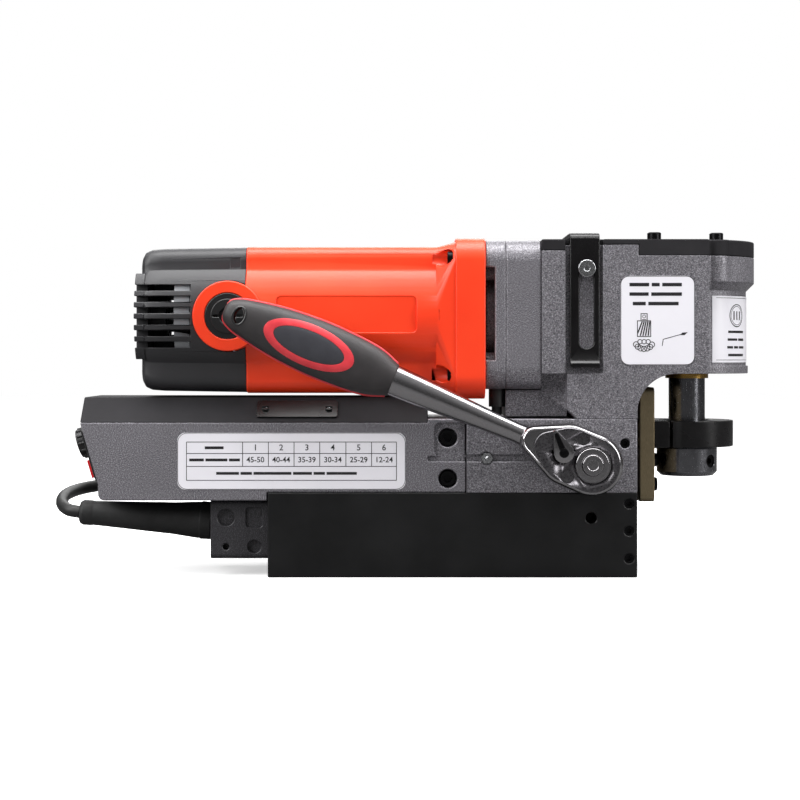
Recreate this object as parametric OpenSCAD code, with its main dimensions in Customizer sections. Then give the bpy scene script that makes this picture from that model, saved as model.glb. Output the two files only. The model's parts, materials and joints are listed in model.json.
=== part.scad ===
// Low-profile magnetic drill press: a holding magnet with a feed slide at one end,
// a motor lying along the top, a right-angle gear case and a Weldon arbor.
// Millimetres, +Z up, +X towards the arbor, -Y is the side that carries the ratchet.
// The origin is the middle of the magnet's lower face.

/* [Magnet and base] */
// Length of the magnet block
magnet_len = 226; // [210:2:240]
// Width of the magnet block and of the castings above it
base_w = 90; // [84:1:96]
// Height of the magnet block
magnet_h = 52; // [48:1:56]
// Height of the slide housing above the magnet
housing_h = 45; // [43:1:48]

/* [Motor] */
// Height of the motor axis above the work surface
motor_z = 160; // [158:0.5:162]
// Outside radius of the motor housing
motor_r = 45; // [43:0.5:46]
// Length of the orange motor housing, without its flange
motor_len = 129; // [120:1:136]

/* [Arbor and feed] */
// Distance of the arbor axis from the middle of the magnet
arbor_x = 150; // [149:0.5:151]
// Bore of the arbor, a 3/4 inch Weldon shank
weldon_d = 19.05; // [19.05, 25.4]
// Outside diameter of the arbor's collar
collar_d = 38; // [36:0.5:40]
// Diameter of the arbor's sliding shaft
arbor_shaft_d = 23; // [22.5:0.25:23.5]
// Height of the feed pinion's axis
pinion_z = 70.4; // [70:0.1:71]
// Distance of the feed pinion's axis from the middle of the magnet
pinion_x = 83; // [82.5:0.1:83.5]

/* [Ratchet wrench] */
// Angle of the wrench's handle above the horizontal
wrench_angle = 22.9; // [10:0.1:40]
// Length of the wrench from its drive to the end of its grip
wrench_len = 240; // [200:5:300]

/* [Mains lead] */
// Diameter of the mains lead
cord_d = 8; // [7:0.5:9]

/* [Hidden] */
$fn = 96;

half_w = base_w / 2;
magnet_x = magnet_len / 2;             // right end of the magnet
housing_top = magnet_h + housing_h;
running = 0.05;                        // radial clearance of a running fit

// control box
box_half_w = 44;
box_left = -217;                       // foot of the slanted rear face
box_rear_foot_z = 57;
box_rear_top = [-228, 94.6];
box_right = -15;
box_top_z = 110;
cover_flat_half_w = 28.6;
box_wall = 3.5;
rear_tilt = atan((box_left - box_rear_top[0]) / (box_rear_top[1] - box_rear_foot_z));

// motor
motor_front = 2;                       // where the flange starts
motor_rear = motor_front - motor_len;
flange_end = 20.2;
cap_rear = -192.5;
motor_bore_r = motor_r - 3;
brush_x = -137.5;
armature_r = 23.5;
shaft_r = 5;

// reduction: armature pinion and layshaft gear
gear_module = 1;
pinion_teeth = 12;
wheel_teeth = 34;
layshaft_z = motor_z + gear_module * (pinion_teeth + wheel_teeth) / 2;
layshaft_r = 4;
pressure_angle = 20;

// bevel pair between the layshaft and the arbor's sleeve
bevel_teeth = 14;
crown_teeth = 42;
bevel_r = 10;
crown_r = bevel_r * crown_teeth / bevel_teeth;
bevel_face = 8;

// castings
vent_end = 32.8;
reduction_end = 54.6;
casting_z = [115, 207];
case_floor = 124.6;
case_top = 207;
cover_seat = 197;
lid_z = [200, 203.5];                  // underside of the lid's thick and thin parts
nose_r = 37;
cover_r = 42;
case_step = 157;                       // where the flat sides end

// arbor
shaft_d_r = arbor_shaft_d / 2;
collar_z = [60, 78.2];
yoke_z = [78.6, 95];
arbor_top = 179;
sleeve_r = 15;

// feed: rack and pinion
rack_module = 1.5;
rack_teeth = 13;
rack_r = rack_module * rack_teeth / 2;
bar_half_w = 14;
bar_x = [pinion_x + rack_r, 116.5];    // pitch line and front face of the rack bar
bar_z = [50, 116];
gib_t = 3;
plate_x = [116.5, 125.5];

// cord: route of the stretch that is not coiled, from the boot to the coil
boot_root = [-149, -14, 32];
boot_tip = [-233, -14, 37.5];
cord_route = [[-233, -14, 37.5], [-240.5, -12, 38.6], [-246, -4, 41], [-248.5, 8, 44], [-247.5, 22, 46.5],
              [-242, 36, 48.4], [-231, 46, 50], [-216, 52, 51], [-196, 55, 51], [-172, 56, 48],
              [-150, 56, 42], [-128, 55, 33], [-106, 54, 23], [-84, 53, 13], [-62, 53, 6.5],
              [-40, 53, 4], [-25, 53, 4], [-10, 53, 4]];
coil_centre = [-10, 113];
coil_r = [32, 64];                     // inside and outside of the coil
plug_route = [[-10, 53, 12], [6, 53.2, 11.6], [20, 54.5, 10.3], [34, 57.2, 9.3], [46, 59.2, 9], [54, 59.5, 9]];
plug_x = [54, 96];

// ---- helpers ----

// Extrudes an outline drawn in X and Z from y0 to y1
module along_y(y0, y1) {
    translate([0, y1, 0]) rotate([90, 0, 0]) linear_extrude(y1 - y0) children();
}

// Extrudes an outline drawn in Y and Z from x0 to x1
module along_x(x0, x1) {
    translate([x0, 0, 0]) rotate([90, 0, 90]) linear_extrude(x1 - x0) children();
}

// Box between two corners
module block(low, high) {
    translate(low) cube(high - low);
}

// Rounded rectangle about the origin
module rounded(w, h, r) {
    square([w - 2 * r, h], center = true);
    square([w, h - 2 * r], center = true);
    for (sx = [-1, 1], sy = [-1, 1])
        translate([sx * (w / 2 - r), sy * (h / 2 - r)]) circle(r);
}

// Cylinder along X, from x0 to x1, about y and z
module rod_x(x0, x1, r, y = 0, z = 0) {
    translate([x0, y, z]) rotate([0, 90, 0]) cylinder(h = x1 - x0, r = r);
}

// Cylinder along Y, from y0 to y1, about x and z
module rod_y(y0, y1, r, x = 0, z = 0) {
    translate([x, y1, z]) rotate([90, 0, 0]) cylinder(h = y1 - y0, r = r);
}

// Cylinder along Z, from z0 to z1
module rod_z(z0, z1, r, x = 0, y = 0) {
    translate([x, y, z0]) cylinder(h = z1 - z0, r = r);
}

// Ring about Z
module ring(z0, z1, outer, inner) {
    difference() {
        rod_z(z0, z1, outer);
        rod_z(z0 - 1, z1 + 1, inner);
    }
}

// Socket head cap screw: head above z = 0, shank below
module cap_screw(d, head_d, head_h, shank) {
    difference() {
        cylinder(h = head_h, d = head_d, $fn = 48);
        translate([0, 0, head_h * 0.4]) cylinder(h = head_h, d = d * 0.95, $fn = 6);
    }
    translate([0, 0, -shank]) cylinder(h = shank + 0.01, d = d, $fn = 32);
}

// Set screw: flat end at z = 0, a hex socket below it
module set_screw(d, len) {
    translate([0, 0, -len]) difference() {
        cylinder(h = len, d = d, $fn = 32);
        translate([0, 0, len - d * 0.5]) cylinder(h = d, d = d * 0.58, $fn = 6);
    }
}

// Deep-groove bearing about Z: two races and a shield between them
module bearing(outer, inner, w) {
    race = (outer - inner) * 0.28;
    ring_part(outer, outer - race, w);
    ring_part(inner + race, inner, w);
    translate([0, 0, 0.6]) ring_part(outer - race + 0.01, inner + race - 0.01, w - 1.2);
}

module ring_part(outer, inner, w) {
    difference() {
        cylinder(h = w, r = outer);
        translate([0, 0, -1]) cylinder(h = w + 2, r = inner);
    }
}

// Point on the involute of base radius rb, at roll angle t in degrees, turned by a
function involute(rb, t, a) =
    let (s = t * PI / 180)
    [rb * (cos(t + a) + s * sin(t + a)), rb * (sin(t + a) - s * cos(t + a))];

// Roll angle at which the involute of base radius rb reaches radius r
function roll_at(rb, r) = sqrt(max(0, pow(r / rb, 2) - 1)) * 180 / PI;

// Outline of a spur gear; backlash is taken off the tooth's thickness
function gear_outline(m, n, addendum = 0.75, dedendum = 1.1, backlash = 0.16) =
    let (r = m * n / 2, rb = r * cos(pressure_angle), tip = r + addendum * m, root = r - dedendum * m,
         inv_pitch = tan(pressure_angle) * 180 / PI - pressure_angle,
         half = 90 / n - backlash / 2 / r * 180 / PI + inv_pitch,
         start = roll_at(rb, max(rb, root)), end = roll_at(rb, tip), steps = 4)
    [for (k = [0 : n - 1]) let (c = 360 * k / n) each concat(
        [[root * cos(c - half), root * sin(c - half)]],
        [for (i = [0 : steps]) let (p = involute(rb, start + (end - start) * i / steps, -half))
            [p[0] * cos(c) - p[1] * sin(c), p[0] * sin(c) + p[1] * cos(c)]],
        [for (i = [steps : -1 : 0]) let (p = involute(rb, start + (end - start) * i / steps, -half))
            [p[0] * cos(c) + p[1] * sin(c), p[0] * sin(c) - p[1] * cos(c)]],
        [[root * cos(c + half), root * sin(c + half)]])];

// Outline of a bevel gear's large end, with straight flanks and generous backlash
function bevel_outline(n, r, up, down, thick = 0.36) =
    [for (k = [0 : n - 1]) let (c = 360 * k / n, step = 360 / n) each
        [for (q = [[down, -0.5 * (thick + 0.12)], [up, -0.5 * (thick - 0.14)],
                   [up, 0.5 * (thick - 0.14)], [down, 0.5 * (thick + 0.12)]])
            (r + q[0]) * [cos(c + q[1] * step), sin(c + q[1] * step)]]];

function unit(v) = v / norm(v);

// Ring of points about a route's point i
function route_ring(route, i, r, sides) =
    let (n = len(route), t = unit(route[min(i + 1, n - 1)] - route[max(i - 1, 0)]),
         side = unit(cross([0, 0, 1], t)), up = cross(t, side))
    [for (k = [0 : sides - 1]) route[i] + r * (cos(360 * k / sides) * side + sin(360 * k / sides) * up)];

// Tube swept along a route
module swept_tube(route, r, sides = 10) {
    n = len(route);
    points = [for (i = [0 : n - 1]) each route_ring(route, i, r, sides)];
    walls = [for (i = [0 : n - 2], k = [0 : sides - 1])
        let (a = i * sides + k, b = i * sides + (k + 1) % sides) [a, a + sides, b + sides, b]];
    polyhedron(points, concat(walls, [[for (k = [0 : sides - 1]) k]],
        [[for (k = [sides - 1 : -1 : 0]) (n - 1) * sides + k]]), convexity = 4);
}

// ---- magnet ----

pole_groove = [150, 60, 14];           // racetrack groove for the coil: length, width, wall
guard_hole_x = 108;
guard_hole_z = [11.6, 28.5, 45.2];
strap_hole = [84.8, 36.4];
notch_x = 90;                          // left wall of the slide's channel
channel_low = -bar_half_w - gib_t - 0.3;
channel_high = bar_half_w + 0.3;

module coil_track(grow, z0, z1) {
    translate([-20, 0, z0]) linear_extrude(z1 - z0) difference() {
        rounded(pole_groove[0] + 2 * grow, pole_groove[1] + 2 * grow, 10 + grow);
        rounded(pole_groove[0] - 2 * pole_groove[2] - 2 * grow,
                pole_groove[1] - 2 * pole_groove[2] - 2 * grow, 5);
    }
}

module magnet_block() {
    color("#1b1b1c") difference() {
        along_x(-magnet_x, magnet_x) translate([0, magnet_h / 2]) rounded(base_w, magnet_h, 1);
        coil_track(0, -1, 36);
        block([notch_x, channel_low, -1], [magnet_x + 1, channel_high, magnet_h + 1]);
        rod_y(-half_w - 1, -half_w + 25, 3.4, strap_hole[0], strap_hole[1]);
        rod_y(half_w - 25, half_w + 1, 3.4, strap_hole[0], strap_hole[1]);
        for (z = guard_hole_z)
            rod_y(-half_w - 1, channel_low + 1, 3, guard_hole_x, z);
        for (z = guard_hole_z) {
            rod_y(half_w - 12, half_w + 1, 2.5, guard_hole_x, z);
        }
    }
}

module magnet_coil() {
    color("#b06a35") coil_track(-1, 6, 35);
}

module magnet_potting() {
    color("#26221f") coil_track(-0.05, 0.3, 5.8);
}

// ---- slide housing ----

module slide_housing() {
    color("#8d8c90") difference() {
        union() {
            block([8.6, -half_w, magnet_h], [magnet_x, half_w, housing_top]);
            block([-12, -26, 55], [8.7, 26, 91]);
        }
        // channel for the rack bar and its gib
        block([notch_x, channel_low, magnet_h - 1], [magnet_x + 1, channel_high, housing_top + 1]);
        // pinion chamber and bush seats
        rod_y(-18, 18, 12.5, pinion_x, pinion_z);
        rod_y(-half_w - 1, -19.9, 15, pinion_x, pinion_z);
        rod_y(19.9, half_w + 1, 15, pinion_x, pinion_z);
        rod_y(-20, 20, 11.5, pinion_x, pinion_z);
        // hollow underside
        block([14, -37, magnet_h - 1], [62, 37, 87]);
        // drip groove along both sides
        for (s = [-1, 1])
            block([8, s * half_w - 2, 71], [58, s * half_w + 2, 75]);
        // gib screw above the magnet, and its blind partner
        rod_y(-half_w - 1, channel_low + 1, 3, 105.5, 82);
        // threaded holes for the control box's screws
        for (s = [-1, 1], z = [60.5, 85.5])
            rod_y(s * 18 - 9, s * 18 + 9, 3, -2.9, z);
        // seat of the grease nipple
        rod_y(-half_w - 1, -36, 2.5, 21, 73);
        rod_y(-half_w - 1, -43.2, 4, 21, 73);
    }
}

module gib_strip() {
    color("#b3975a") block([97, -bar_half_w - gib_t - 0.1, 8], [112, -bar_half_w - 0.1, 94]);
}

module gib_screws() {
    tip = -bar_half_w - gib_t - 0.15;
    color("#2c2c2e") {
        for (z = guard_hole_z)
            translate([guard_hole_x, -half_w + 1, z]) rotate([90, 0, 0]) set_screw(6, half_w - 1 + tip);
        translate([105.5, -half_w + 1, 82]) rotate([90, 0, 0]) set_screw(6, half_w - 1 + tip);
    }
}

module grease_nipple() {
    color("#c9c9c6") translate([21, -36.5, 73]) rotate([90, 0, 0]) {
        cylinder(h = 7, r = 2.45);
        translate([0, 0, 7]) cylinder(h = 1.6, r = 3.6, $fn = 6);
        translate([0, 0, 8.5]) cylinder(h = 1.5, r = 1.6);
        translate([0, 0, 10]) sphere(1.5);
    }
}

// ---- control box ----

module box_side_outline() {
    lip_r = 4;
    difference() {
        polygon(concat(
            [[8, magnet_h], [8, housing_top], [box_right, housing_top], [box_right, box_rear_top[1]],
             box_rear_top, [box_left, box_rear_foot_z]],
            [for (a = [180 : 15 : 270]) [box_left + lip_r + lip_r * cos(a), 47 + lip_r + lip_r * sin(a)]],
            [[-magnet_x - 0.5, 47], [-magnet_x - 0.5, magnet_h]]));
    }
}

module on_rear() {
    translate([box_left, 0, box_rear_foot_z]) rotate([0, -rear_tilt, 0]) children();
}

module control_box() {
    color("#8d8c90") difference() {
        along_y(-box_half_w, box_half_w) box_side_outline();
        // space for the electrics
        block([box_left + box_wall, -box_half_w + box_wall, magnet_h + box_wall],
              [box_right - 12, box_half_w - box_wall, housing_top + 1]);
        // window behind the switch panel
        on_rear() block([-12, -32, 3.4], [16, 32, 34]);
        // socket for the slide housing's tongue
        block([-12.2, -26.2, 54.8], [9, 26.2, 91.2]);
        // counterbored screws, the upper ones in a shallow pocket
        for (s = [-1, 1]) {
            for (z = [60.5, 85.5]) {
                rod_y(s * box_half_w - 8, s * box_half_w + 8, 5.8, -2.9, z);
                rod_y(s * 34 - 12, s * 34 + 12, 3.2, -2.9, z);
            }
            along_y(s * box_half_w - 2, s * box_half_w + 2)
                translate([-1, 84]) rounded(20, 21, 3.5);
            block([box_right, s * box_half_w - 2, 71], [9, s * box_half_w + 2, 74]);
        }
    }
}

module cover_outline(t) {
    polygon([[-box_half_w + t, box_rear_top[1]], [-cover_flat_half_w + t * 0.6, box_top_z - t],
             [cover_flat_half_w - t * 0.6, box_top_z - t], [box_half_w - t, box_rear_top[1]]]);
}

module box_cover() {
    color("#3a393c") difference() {
        along_x(box_rear_top[0], box_right) cover_outline(0);
        along_x(box_rear_top[0] + 2, box_right - 2) translate([0, -0.01]) cover_outline(2);
    }
}

module access_plate() {
    spread = 39;
    translate([-95.4, -(box_half_w + cover_flat_half_w) / 2, (box_rear_top[1] + box_top_z) / 2])
        rotate([45, 0, 0]) {
            color("#161617") linear_extrude(1.2) rounded(50, 14, 2);
            color("#c9c9cb") for (s = [-1, 1]) translate([s * spread / 2, 0, 1.2]) difference() {
                cylinder(h = 1.4, r = 2.3);
                translate([-3, -0.4, 0.7]) cube([6, 0.8, 2]);
            }
        }
}

switch_y = 18;
switch_z = 10;
rocker_len = 18;
rocker_pivot = 3;                      // pivot depth behind the panel's face
dial_z = 27;

module rear_panel() {
    color("#1d1d1e") on_rear() difference() {
        translate([-2.2, 0, 19]) rotate([90, 0, 90]) linear_extrude(2.2) rounded(76, 35, 4);
        for (s = [-1, 1])
            block([-5, s * switch_y - 10.9, switch_z - 6.3], [5, s * switch_y + 10.9, switch_z + 6.3]);
        rod_x(-5, 5, 3.3, 0, dial_z);
    }
}

module rocker() {
    rotate([0, 0, -10]) translate([-rocker_pivot, 0, -5.8]) linear_extrude(11.6)
        polygon([[-1.2, 0], [-4.6, -rocker_len / 2], [5, -rocker_len / 2], [8, -4], [8, 4],
                 [5, rocker_len / 2], [-4.6, rocker_len / 2]]);
}

module switch_at(y) {
    on_rear() translate([rocker_pivot, y, switch_z]) rocker();
}

module magnet_switch() {
    color("#d8222a") switch_at(-switch_y);
}

module motor_switch() {
    color("#1f8a4c") switch_at(switch_y);
}

module speed_dial() {
    color("#202022") on_rear() difference() {
        union() {
            rod_x(-12, -2.6, 9, 0, dial_z);
            rod_x(-3, 8, 3.2, 0, dial_z);
            for (a = [0 : 30 : 330])
                translate([0, 9 * cos(a), dial_z + 9 * sin(a)]) rod_x(-11, -4, 0.9);
        }
        block([-13, -0.6, dial_z + 3], [-11.2, 0.6, dial_z + 9]);
    }
}

module control_board() {
    color("#1f6a3c") block([-150, -30, 60], [-50, 30, 61.6]);
    color("#2b2b2e") block([-140, -24, 61.6], [-112, 0, 78]);
    color("#9fa3a8") block([-80, -20, 61.6], [-60, 20, 82]);
    color("#2b2b2e") for (x = [-105, -95]) rod_z(61.6, 80, 4, x, 16);
    color("#c9c9c6") for (x = [-145, -55], y = [-25, 25])
        rod_z(55.5, 60, 2.5, x, y);
}

module housing_screws() {
    color("#1c1c1d") for (s = [-1, 1], z = [60.5, 85.5])
        translate([-2.9, s * (box_half_w - 8), z]) rotate([-s * 90, 0, 0]) cap_screw(6, 10, 6, 17);
}

module cable_block() {
    color("#38373a") difference() {
        along_x(-149, -magnet_x) translate([0, 28.8]) rounded(72, 36.4, 3);
        // moulded recesses in the long faces
        for (s = [-1, 1]) {
            rod_y(s * 36 - 3, s * 36 + 3, 5.2, -139.5, 36);
            rod_y(s * 36 - 8, s * 36 + 8, 2, -139.5, 18);
            rod_y(s * 36 - 3, s * 36 + 3, 4, -122, 18);
            along_y(s * 36 - 1.5, s * 36 + 1.5) translate([-122, 36]) rounded(10, 12, 2);
        }
        // entry of the boot
        translate(boot_root) rotate([0, -90, 0]) rod_z(-9.9, 3, 9);
    }
}

boot_vector = boot_tip - boot_root;
boot_len = norm(boot_vector);
boot_angle = atan2(boot_vector[2], -boot_vector[0]);

module cable_boot() {
    color("#161617") translate(boot_root) {
        rotate([0, -90, 0]) rod_z(-9.8, 2, 8.9);
        rotate([0, -90 + boot_angle, 0]) rotate([180, 0, 0]) mirror([0, 0, 1]) rotate_extrude()
            polygon([[0, 1.1], [11.7, 1.1], [11.9, 8], [11.3, 8.6], [11.5, 9.4], [10, 25], [cord_d / 2 + 3.6, boot_len - 9],
                     [cord_d / 2 + 3.9, boot_len - 7], [cord_d / 2 + 3.9, boot_len - 2], [cord_d / 2 + 2.6, boot_len],
                     [0, boot_len]]);
    }
}

module mains_cord() {
    color("#0f0f10") {
        swept_tube(cord_route, cord_d / 2);
    }
}

module cord_coil() {
    height = 2 * cord_d;
    color("#0f0f10") translate([coil_centre[0], coil_centre[1], 0]) rotate_extrude()
        translate([(coil_r[0] + coil_r[1]) / 2, height / 2])
            rounded(coil_r[1] - coil_r[0], height, 3.9);
}

module cord_tie() {
    // strap round the bundle, opposite the place where the lead comes in
    color("#3c3c3f") translate([coil_centre[0], coil_centre[1], 0]) along_x(-4, 4)
        translate([(coil_r[0] + coil_r[1]) / 2, cord_d]) difference() {
            rounded(coil_r[1] - coil_r[0] + 3.2, 2 * cord_d + 3.2, 5);
            rounded(coil_r[1] - coil_r[0] + 0.2, 2 * cord_d + 0.2, 3.9);
            translate([0, -cord_d - 5]) square([60, 10], center = true);
        }
}

module mains_plug() {
    y = plug_route[5][1];
    color("#0f0f10") swept_tube(plug_route, cord_d / 2);
    color("#171718") {
        rod_x(plug_x[0], plug_x[0] + 14, 6, y, 9);
        along_x(plug_x[0] + 13, plug_x[1]) translate([y, 9]) rounded(26, 18, 5);
    }
    color("#c8b26a") {
        for (s = [-1, 1])
            block([plug_x[1] - 0.1, y + s * 6.3 - 0.75, 8], [plug_x[1] + 16, y + s * 6.3 + 0.75, 14]);
        rod_x(plug_x[1] - 0.1, plug_x[1] + 18, 2.3, y, 5);
    }
}

// ---- labels ----

label_t = 0.3;

module speed_label() {
    color("#e7e6eb") along_y(-box_half_w - label_t, -box_half_w)
        translate([-98.5, 71.2]) rounded(139.6, 34.8, 5);
}

module case_labels() {
    color("#e7e6eb") along_y(-half_w - label_t, -half_w)
        translate([125.3, 157.25]) rounded(45.4, 54.5, 6);
    color("#e7e6eb") translate([arbor_x, 0, 131.5]) rotate([0, 0, -74]) rotate_extrude(angle = 62)
        translate([nose_r, 0]) square([label_t, 41.2]);
}

// ---- gear case ----

spindle_bearing_r = 21;
channel_x = [69, 92];                  // recess for the handle's strap
channel_depth = 3;

module cover_plan() {
    translate([113.6, -half_w]) square([case_step - 113.6, base_w]);
    intersection() {
        translate([arbor_x, 0]) circle(cover_r);
        translate([120, -half_w]) square([80, base_w]);
    }
    for (s = [-1, 1]) translate([163, s * 33]) circle(9);
}

module gear_case() {
    color("#8d8c90") difference() {
        union() {
            block([reduction_end, -half_w, case_floor], [69.5, half_w, lid_z[0]]);
            block([69, -half_w, case_floor], [113.6, half_w, lid_z[1]]);
            block([113, -half_w, case_floor], [case_step, half_w, cover_seat]);
            translate([0, 0, 181]) linear_extrude(cover_seat - 181) cover_plan();
            rod_z(case_floor, cover_seat, nose_r, arbor_x);
            translate([arbor_x, 0, 176]) cylinder(h = 5.01, r1 = nose_r, r2 = cover_r);
            rod_z(case_floor, 129.5, nose_r + 1.2, arbor_x);
            // foot on the slide housing, with its chamfered corner
            along_y(-half_w, half_w) polygon([[70, case_floor + 2], [70, housing_top + 6],
                [76, housing_top], [magnet_x, housing_top], [137, case_floor], [137, case_floor + 2]]);
            block([reduction_end, -30, housing_top + 1], [71, 30, case_floor + 1]);
            block([33, -30, housing_top + 1], [56, 30, casting_z[0] - 0.5]);
        }
        // concave sweep under the nose
        rod_y(-half_w - 1, half_w + 1, 24, 137, 100.6);
        // room for the slide plate and the rack bar
        block([plate_x[0] - 1, -31.5, 90], [plate_x[1] + 1.5, 31.5, 134]);
        block([notch_x, channel_low, 90], [plate_x[0] + 1, channel_high, 134]);
        // strap channels
        for (s = [-1, 1])
            block([channel_x[0], s * (half_w - channel_depth / 2) - channel_depth / 2 - (s < 0 ? 1 : 0), 125],
                  [channel_x[1], s * (half_w - channel_depth / 2) + channel_depth / 2 + (s > 0 ? 1 : 0), 208]);
        // layshaft: clearance, bearing seat, clearance
        rod_x(reduction_end - 1, 85, 7, 0, layshaft_z);
        rod_x(84, 92, 9.5, 0, layshaft_z);
        rod_x(91, 101, 6, 0, layshaft_z);
        // lightening pocket behind the reduction case
        block([reduction_end - 1, -34, 132], [80, 34, 168]);
        // chamber of the bevel pair
        block([100, -36, 163], [arbor_x, 36, cover_seat + 1]);
        rod_z(163, cover_seat + 1, 33, arbor_x);
        // spindle bearings, with a shoulder between them
        rod_z(127.5, 137.5, spindle_bearing_r, arbor_x);
        rod_z(137, 151, spindle_bearing_r - 2, arbor_x);
        rod_z(150.5, 164, spindle_bearing_r, arbor_x);
        rod_z(case_floor - 1, 128, 17, arbor_x);
        // threads for the cover's screws
        for (p = cover_screw_at)
            rod_z(cover_seat - 12, cover_seat + 1, 2.5, p[0], p[1]);
        // threads for the handle's bolts
        for (s = [-1, 1])
            rod_y(s * 36 - 10, s * 36 + 10, 3, 82, 189);
    }
}

cover_screw_at = [[124, -39], [124, 39], [163, -34], [163, 34]];

module gear_case_cover() {
    color("#2a2a2c") difference() {
        union() {
            translate([0, 0, cover_seat]) linear_extrude(case_top - cover_seat) cover_plan();
            // lid over the layshaft's end of the case
            block([68.5, -half_w, lid_z[1]], [114, half_w, case_top]);
            block([reduction_end, -half_w, lid_z[0]], [69, half_w, case_top]);
        }
        for (s = [-1, 1])
            block([channel_x[0], s * (half_w - channel_depth / 2) - channel_depth / 2 - (s < 0 ? 1 : 0), 195],
                  [channel_x[1], s * (half_w - channel_depth / 2) + channel_depth / 2 + (s > 0 ? 1 : 0), 208]);
        for (p = cover_screw_at)
            rod_z(cover_seat - 1, case_top + 1, 2.7, p[0], p[1]);
        // relief above the sleeve
        rod_z(cover_seat - 1, cover_seat + 5, 18, arbor_x);
    }
}

flange_screw_at = [[-38, 124.5], [-38, 195.5], [38, 124.5], [38, 195.5]];

module cap_screws() {
    color("#1c1c1d") {
        for (p = cover_screw_at)
            translate([p[0], p[1], case_top]) cap_screw(5, 8.5, 4.4, 20);
        for (p = flange_screw_at)
            translate([motor_front, p[0], p[1]]) rotate([0, -90, 0]) cap_screw(5, 8.5, 5, 24);
    }
}

// ---- motor and reduction castings ----

module casting_outline(half = 44, r = 14) {
    translate([0, (casting_z[0] + casting_z[1]) / 2])
        rounded(2 * half, casting_z[1] - casting_z[0], r);
}

module vent_casting() {
    color("#8d8c90") difference() {
        along_x(flange_end, vent_end) casting_outline();
        // fan chamber
        rod_x(flange_end - 1, 27, 39.5, 0, motor_z);
        // air outlets in both sides
        for (s = [-1, 1])
            block([flange_end - 1, s * 41 - 8, 133], [26, s * 41 + 8, 190]);
        rod_x(26, 33.5, 13, 0, motor_z);
        for (p = flange_screw_at)
            rod_x(flange_end - 1, 27, 2.5, p[0], p[1]);
    }
    // seat of the front bearing, with the disc that turns the fan's air outwards
    color("#8d8c90") difference() {
        union() {
            rod_x(23, vent_end, 16, 0, motor_z);
            rod_x(20.8, 27.5, 34, 0, motor_z);
        }
        rod_x(20, 31, 13, 0, motor_z);
        rod_x(30, 34, 9, 0, motor_z);
    }
}

module reduction_case() {
    color("#87868a") difference() {
        union() {
            difference() {
                along_x(vent_end, reduction_end) casting_outline();
                block([37, -36, 119.5], [reduction_end + 1, 36, 203]);
            }
            rod_x(36, 41, 12, 0, layshaft_z);
        }
        rod_x(vent_end - 1, 38, 7.5, 0, motor_z);
        rod_x(34, 42, 9.5, 0, layshaft_z);
    }
}

module motor_section(grow = 0) {
    translate([0, motor_z]) {
        intersection() {
            circle(motor_r + grow);
            translate([0, -4]) square([2 * motor_r + 2, 95.2], center = true);
        }
        translate([0, -2.15]) rounded(2 * (34 + grow), 90.7 + 2 * grow, 8 + grow);
    }
}

module flange_section() {
    translate([0, 158.6]) rounded(92, 99, 14);
}

ear_r = 21.5;

module motor_housing() {
    color("#f0502f") difference() {
        union() {
            along_x(motor_rear, motor_front - 10) motor_section();
            // skirt that grows into the flange
            hull() {
                along_x(motor_front - 12, motor_front - 11) motor_section(-0.2);
                along_x(motor_front - 0.5, motor_front) translate([0, 158.6]) rounded(90, 94.5, 14);
            }
            along_x(motor_front, flange_end) flange_section();
            for (s = [-1, 1])
                rod_y(s * 33 - 13, s * 33 + 13, ear_r, brush_x, motor_z);
        }
        rod_x(motor_rear - 30, flange_end + 1, motor_bore_r, 0, motor_z);
        // flat panels along both sides
        for (s = [-1, 1]) {
            along_y(s * motor_r - 0.8, s * motor_r + 2) translate([-65, 161]) rounded(86, 22, 3);
            // brush cap seats
            rod_y(s * 43 - 6, s * 43 + 6, 14.2, brush_x, motor_z);
            rod_y(s * 35 - 8, s * 35 + 8, 9, brush_x, motor_z);
        }
        for (p = flange_screw_at) {
            rod_x(motor_front - 14, motor_front, 5.2, p[0], p[1]);
            rod_x(motor_front - 1, flange_end + 1, 2.7, p[0], p[1]);
        }
    }
}

slot_pitch = 7;
slot_h = 3.7;

// distance from the rear face, and how far the section is drawn in there
cap_taper = [[0, -6], [2, -3.1], [6, -1.4], [14, -0.8], [65, 0]];

module end_cap_core() {
    hull() for (t = cap_taper)
        along_x(cap_rear + t[0], cap_rear + t[0] + 0.5) translate([0, motor_z]) intersection() {
            circle(motor_r - 1.2 + t[1]);
            translate([0, -4]) square([2 * motor_r, 94 + 2 * t[1]], center = true);
        }
    hull() for (t = cap_taper)
        along_x(cap_rear + t[0], cap_rear + t[0] + 0.5)
            translate([0, 158]) rounded(2 * (32.5 + t[1]), 90 + 2 * t[1], 9);
}

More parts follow.
